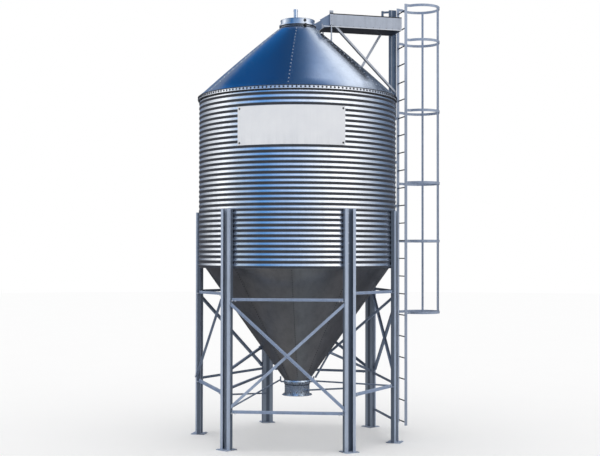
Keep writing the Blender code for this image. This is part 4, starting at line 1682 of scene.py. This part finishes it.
@dataclass
class OutletBoot:
    """The collar, clamp band and flange under the hopper."""

    shop: Workshop
    bottom: float = 0.87
    top: float = 1.185
    bore: float = 0.245
    collar: float = 0.260
    band: float = 0.275
    flange: float = 0.312
    lug_angles: Point2 = (165.0, -15.0)
    lug_half: float = 0.020
    band_low: float = 1.100
    ring_bolts: int = 12
    ring_turn: float = 0.4
    band_bolt_z: float = 1.144
    flange_bolt_radius: float = 0.290
    collar_bolt_z: float = 0.945
    collar_bolts: tuple[float, ...] = (-135.0, -107.0, -85.0, -60.0, 20.0, 80.0)

    def build(self) -> None:
        """Turns the boot, adds its lugs and sets its bolts."""
        bm = bmesh.new()
        profile = [
            (self.bore, self.bottom),
            (self.flange, self.bottom),
            (self.flange, self.bottom + 0.012),
            (self.collar + 0.002, self.bottom + 0.015),
            (self.collar, self.bottom + 0.022),
            (self.collar, self.band_low),
            (self.band - 0.003, self.band_low + 0.004),
            (self.band, self.band_low + 0.012),
            (self.band, self.top - 0.009),
            (self.band - 0.005, self.top),
            (self.bore, self.top),
        ]
        Turning(profile, 96).add_to(bm)
        for degrees in self.lug_angles:
            self.add_lug(bm, degrees)
        self.shop.add("boot_collar", bm, BOOT_ZINC, "outlet_boot")
        spots = []
        for k in range(self.ring_bolts):
            degrees = SIZES.seam + 360.0 * (k + self.ring_turn) / self.ring_bolts
            spot = SIZES.around(self.band, degrees, self.band_bolt_z)
            spots.append((spot, SIZES.outward(degrees)))
            spots.append((SIZES.around(self.flange_bolt_radius, degrees, self.bottom + 0.014), UP))
        for degrees in self.collar_bolts:
            spot = SIZES.around(self.collar, degrees, self.collar_bolt_z)
            spots.append((spot, SIZES.outward(degrees)))
        self.shop.bolt("boot_bolts", spots, FastenerKind.FRAME, BOLT_ZINC, DARK_BOLT)

    def add_lug(self, bm: bmesh.types.BMesh, degrees: float) -> None:
        """Adds one upright tab beside the cone.

        Args:
            bm: where it goes.
            degrees: the tab's angle.
        """
        side = SIZES.sideways(degrees)
        path = [(0.270, 1.128), (0.330, 1.128), (0.360, 1.150), (0.360, 1.250)]
        inner = [(0.270, 1.158), (0.320, 1.158), (0.330, 1.165), (0.330, 1.250)]

        def place(i: int, j: int, outside: bool) -> Vector:
            """The point of a step along the tab and a side of it."""
            radius, z = (path if outside else inner)[i]
            return SIZES.around(radius, degrees, z) + side * (self.lug_half * (2 * j - 1))

        add_shell(bm, 3, 1, place)


@dataclass
class LegSet:
    """The six lipped-channel legs with their bolts."""

    shop: Workshop
    bolt_heights: tuple[float, ...] = (3.62, 3.82, 4.02, 4.22, 4.42, 4.60)
    clear: float = 0.4
    anchor_reach: float = 0.117
    look_from: float = 0.3
    plate_top: float = 0.05

    def build(self) -> None:
        """Dresses the legs and sets their wall bolts and anchor bolts."""
        wall, anchors = [], []
        for leg in LegName:
            self.shop.keep(LEG_LOOKS[leg], (leg.node,))
            faces = CadFaces(leg.node)
            out, side = SIZES.outward(leg.value), SIZES.sideways(leg.value)
            for z in self.bolt_heights:
                start = SIZES.around(SIZES.wall_radius + self.clear, leg.value, z)
                wall += faces.find(start, -out)
            radius = SIZES.wall_radius + SIZES.leg_depth / 2
            middle = SIZES.around(radius, leg.value, self.look_from)
            for a, b in ((-1, -1), (-1, 1), (1, -1), (1, 1)):
                start = middle + out * (a * self.anchor_reach) + side * (b * self.anchor_reach)
                anchors += [s for s in faces.find(start, -UP) if s[0].z < self.plate_top]
        self.shop.bolt("leg_wall_bolts", wall, FastenerKind.FRAME)
        self.shop.bolt("anchor_bolts", anchors, FastenerKind.FRAME)


@dataclass
class Bracing:
    """Rails, diagonals, stays and ties between the legs."""

    shop: Workshop
    spans: tuple[str, ...] = ("ab", "bc", "cd", "df", "fe", "ea")
    insets: Point2 = (0.045, 0.108)
    clear: float = 0.3
    least_facing: float = 0.8
    tries: tuple[float, ...] = (0.0, -0.012, 0.012, 0.02, -0.02)

    def build(self) -> None:
        """Dresses the bars and bolts their ends."""
        bars = [f"{level}_rail_{span}" for level in ("top", "low") for span in self.spans]
        bars += ["kick_rail_df", "brace_ab", "brace_ea", "cross_tie_be"]
        others = ["cross_brace_bc", "cross_brace_df", "cross_brace_fe", "low_tie_be"]
        others += ["hopper_stay_left", "hopper_stay_right"]
        others += [f"boot_tie_{leg}" for leg in "bcd"]
        self.shop.keep(FRAME_ZINC, bars + others)
        spots = [spot for bar in bars for spot in self.end_bolts(bar)]
        self.shop.bolt("brace_bolts", spots, FastenerKind.FRAME)

    def end_bolts(self, bar: str) -> list[Spot]:
        """Where the bolts of one bar sit.

        Args:
            bar: its CAD node.

        Returns:
            Up to two spots at each end.
        """
        faces = CadFaces(bar)
        first, second = faces.ends()
        spots = []
        for end, other in ((first, second), (second, first)):
            for inset in self.insets:
                middle = end + (other - end).normalized() * inset
                out = (middle - Vector(SIZES.axis)) * Vector((1, 1, 0))
                out.normalize()
                for rise in self.tries:
                    found = faces.find(middle + out * self.clear + UP * rise, -out)
                    if found and found[0][1].dot(out) > self.least_facing:
                        spots += found
                        break
        return spots


@dataclass
class LadderAndCage:
    """The ladder, its cage of hoops and bars, and the post beside it."""

    shop: Workshop
    x: float = 2.325
    cage_x: float = 2.75
    hoops: tuple[float, ...] = (2.562, 4.088, 5.333, 6.875, 8.380, 9.116)
    bars: tuple[float, ...] = (-48.0, -6.0, 62.0)
    cage_clear: float = 0.7
    side_clear: float = 0.6
    side_reach: float = 0.5
    shifts: Point2 = (0.03, 0.09)

    def build(self) -> None:
        """Dresses the ladder and the cage and sets their bolts."""
        for look, node in (
            (LADDER_ZINC, "ladder"), (CAGE_ZINC, "ladder_cage"), (POST_ZINC, "access_post")
        ):  # fmt: skip
            self.shop.keep(look, (node,))
        faces = CadFaces("ladder_cage")
        centre = Vector((SIZES.axis_x + self.cage_x, SIZES.axis_y, 0))
        spots = []
        for z in self.hoops:
            for degrees in self.bars:
                out = SIZES.outward(degrees)
                spots += faces.find(centre + out * self.cage_clear + UP * z, -out)
        faces = CadFaces("ladder", "ladder_cage")
        for z in self.hoops:
            for side in (-1, 1):
                for shift in self.shifts:
                    x, y = SIZES.axis_x + self.x + shift, SIZES.axis_y + side * self.side_clear
                    spots += faces.find(Vector((x, y, z)), Vector((0, -side, 0)), self.side_reach)
        self.shop.bolt("cage_bolts", spots, FastenerKind.SMALL)


@dataclass
class Catwalk:
    """The trough-shaped catwalk over the roof and its struts."""

    shop: Workshop
    first: float = 0.70
    step: float = 0.145
    count: int = 11
    row: float = 8.585
    post: float = 0.645
    clear: float = 0.6
    post_bolts: tuple[float, ...] = (8.60, 8.68, 8.76, 8.86)

    def build(self) -> None:
        """Dresses the catwalk and sets its bolts: a row along each side, then the post's."""
        self.shop.keep(WALKWAY_ZINC, ("catwalk",))
        self.shop.keep(STRUT_ZINC, ("catwalk_strut_long", "catwalk_strut_short"))
        faces = CadFaces("catwalk")
        places = [(self.first + k * self.step, self.row) for k in range(self.count)]
        places += [(self.post, z) for z in self.post_bolts]
        spots = []
        for x, z in places:
            for side in (-1, 1):
                start = Vector((SIZES.axis_x + x, SIZES.axis_y + side * self.clear, z))
                spots += faces.find(start, Vector((0, -side, 0)))
        self.shop.bolt("catwalk_bolts", spots, FastenerKind.SMALL, BOLT_ZINC, DARK_BOLT)


@dataclass
class SignPlate:
    """A bare curved plate of painted sheet on the wall."""

    shop: Workshop
    start: float = -139.4
    sweep: float = 61.0
    low: float = 5.91
    high: float = 6.665
    radius: float = 2.0613
    sheet: float = 0.0045
    columns: int = 72
    rows: int = 10
    bolt_angle: float = 1.2
    bolt_inset: float = 0.045

    def build(self) -> None:
        """Rolls the plate and bolts its corners."""

        def place(i: int, j: int, outside: bool) -> Vector:
            """A point of the plate.

            Args:
                i: the column.
                j: the row.
                outside: whether it is on the outer face.

            Returns:
                The point.
            """
            degrees = self.start + self.sweep * i / self.columns
            z = self.low + (self.high - self.low) * j / self.rows
            return SIZES.around(self.radius - (0 if outside else self.sheet), degrees, z)

        bm = bmesh.new()
        add_shell(bm, self.columns, self.rows, place)
        self.shop.add("sign_sheet_bare", bm, SIGN_ENAMEL, "sign_plate")
        spots = []
        for degrees in (self.start + self.bolt_angle, self.start + self.sweep - self.bolt_angle):
            for z in (self.low + self.bolt_inset, self.high - self.bolt_inset):
                spots.append((SIZES.around(self.radius, degrees, z), SIZES.outward(degrees)))
        self.shop.bolt("sign_bolts", spots, FastenerKind.EAVE, RUBBER, DARK_BOLT)


# The studio.

Ramp = tuple[tuple[float, str], ...]


@dataclass
class Studio:
    """The pale floor, the soft light and the camera.

    The sky that the steel mirrors is a set of ramps round the horizon, one for each range of
    climb; a stop is an angle in degrees and the colour that shows there.
    """

    floor_radius: float = 90.0
    camera_place: Point3 = (-6.587, -22.585, 3.804)
    heading: float = 74.62
    pitch: float = 1.0
    roll: float = 0.09
    lens: float = 66.98
    shift: Point2 = (-0.0079, 0.0110)
    gain: float = 1.5
    horizon: Ramp = (
        (-180, "a2b0bd"), (-147, "2f6798"), (-122, "7894b6"), (-103, "829dbd"),
        (-80, "c6cdd6"), (-62, "ffffff"), (-35, "fbfbfb"), (6, "7f8fa5"), (24, "55647a"),
        (68, "363c44"), (88, "5c6f8c"), (112, "7c838e"), (155, "ffffff"), (180, "a2b0bd"),
    )  # fmt: skip
    upper: Ramp = (
        (-180, "9ec0ef"), (-150, "5a95d5"), (-60, "ffffff"), (46, "e6edf7"), (58, "53616f"),
        (84, "3f6288"), (96, "2c68a6"), (104, "0b4272"), (125, "154680"), (180, "9ec0ef"),
    )  # fmt: skip
    high: Ramp = (
        (-180, "2d4c73"), (36, "bccae0"), (46, "6a82a6"), (56, "3f5b7e"),
        (75, "2d4a6d"), (104, "0f3761"), (130, "1d4f86"), (180, "2d4c73"),
    )  # fmt: skip
    zenith: str = "2b4a70"
    under: Ramp = (
        (-180, "707174"), (-118, "58595c"), (-96, "78818a"), (-44, "606266"),
        (40, "7a7c84"), (58, "55585e"), (90, "6a6b70"), (180, "707174"),
    )  # fmt: skip
    ground: str = "4a4b50"

    def build(self) -> None:
        """Sets up the light, the floor and the camera."""
        bpy.context.scene.view_settings.view_transform = "Standard"
        self.surroundings()
        self.floor()
        self.camera()

    def ramp(self, board: Board, turn: Socket, stops: Ramp) -> Socket:
        """Colours by direction round the horizon.

        Args:
            board: the world's board.
            turn: the direction, from 0 to 1.
            stops: an angle in degrees and a colour for each stop.

        Returns:
            The colour.
        """
        node = board.put("ShaderNodeValToRGB", {0: turn})
        marks = node.color_ramp.elements
        while len(marks) < len(stops):
            marks.new(0.5)
        for mark, (degrees, code) in zip(marks, stops):
            mark.position = (degrees + 180.0) / 360.0
            mark.color = solid(shown(code))
        return node.outputs[0]

    def surroundings(self) -> None:
        """A soft sky for the reflections, plain white for the camera and for matt faces."""
        world = bpy.data.worlds.new("studio")
        world.use_nodes = True
        bpy.context.scene.world = world
        board = Board(world.node_tree)
        world.node_tree.nodes.clear()
        part = board.parts(board.put("ShaderNodeTexCoord").outputs["Generated"])
        around = board.math("ARCTAN2", part[1], part[0])
        around = board.math("MULTIPLY_ADD", around, 1 / math.tau, 0.5)
        climb = board.math("MULTIPLY", board.math("ARCSINE", part[2]), 180 / math.pi)
        sky = self.ramp(board, around, self.horizon)
        for low, high, above in (
            (31.0, 38.0, self.ramp(board, around, self.upper)),
            (50.0, 64.0, self.ramp(board, around, self.high)),
            (76.0, 88.0, shown(self.zenith)),
        ):
            sky = board.blend(board.remap(climb, low, high, smooth=True), sky, above)
        under = self.ramp(board, around, self.under)
        near = board.remap(climb, -58.0, -44.0, smooth=True)
        below = board.blend(near, under, shown(self.ground))
        seen = board.blend(board.remap(climb, 3.0, 12.0, smooth=True), below, sky)
        reflected = board.put("ShaderNodeBackground", {0: seen, 1: self.gain}).outputs[0]
        plain = board.put("ShaderNodeBackground", {0: (1, 1, 1, 1), 1: 1.0}).outputs[0]
        path = board.put("ShaderNodeLightPath").outputs
        matt = board.math("MAXIMUM", path["Is Camera Ray"], path["Is Diffuse Ray"])
        both = board.put("ShaderNodeMixShader", {0: matt, 1: reflected, 2: plain})
        board.put("ShaderNodeOutputWorld", {0: both.outputs[0]})
        world.cycles.sampling_method = "NONE"

    def floor(self) -> None:
        """A wide pale disc under the feet, left out of the reflections."""
        bm = bmesh.new()
        bmesh.ops.create_circle(bm, cap_ends=True, segments=96, radius=self.floor_radius)
        mesh = bpy.data.meshes.new("studio_floor")
        bm.to_mesh(mesh)
        bm.free()
        floor = linked("studio_floor", mesh)
        floor.location.z = -0.001
        coat = Coat("pale_floor")
        noise = coat.board.noise(coat.spot, 0.6, 3.0)
        colour = coat.board.blend(noise, (0.97, 0.97, 0.972), (0.985, 0.985, 0.985))
        coat.shader.inputs["Specular IOR Level"].default_value = 0.0
        mesh.materials.append(coat.end(colour, 0.9))
        floor.visible_glossy = False

    def camera(self) -> None:
        """A camera at the photograph's viewing angle."""
        lens = bpy.data.cameras.new("photo_view")
        lens.lens = self.lens
        lens.sensor_width = 36.0
        lens.shift_x, lens.shift_y = self.shift
        lens.clip_end = 300.0
        camera = bpy.data.objects.new("photo_view", lens)
        bpy.context.scene.collection.objects.link(camera)
        heading, pitch = math.radians(self.heading), math.radians(self.pitch)
        level = Vector((math.cos(heading), math.sin(heading), 0)) * math.cos(pitch)
        turn = (level + UP * math.sin(pitch)).to_track_quat("-Z", "Y").to_matrix().to_4x4()
        roll = Matrix.Rotation(math.radians(self.roll), 4, "Z")
        camera.matrix_world = Matrix.Translation(self.camera_place) @ turn @ roll
        bpy.context.scene.camera = camera


def main() -> None:
    """Builds every sub-assembly in turn."""
    logging.basicConfig(level=logging.INFO, format="%(message)s")
    shop = Workshop()
    for part in (
        CorrugatedWall(shop),
        EaveTrim(shop),
        ConeRoof(shop),
        NeckAndCap(shop),
        Hopper(shop),
        OutletBoot(shop),
        LegSet(shop),
        Bracing(shop),
        LadderAndCage(shop),
        Catwalk(shop),
        SignPlate(shop),
        Studio(),
    ):
        log.info("building %s", type(part).__name__)
        part.build()


if __name__ == "__main__":
    main()
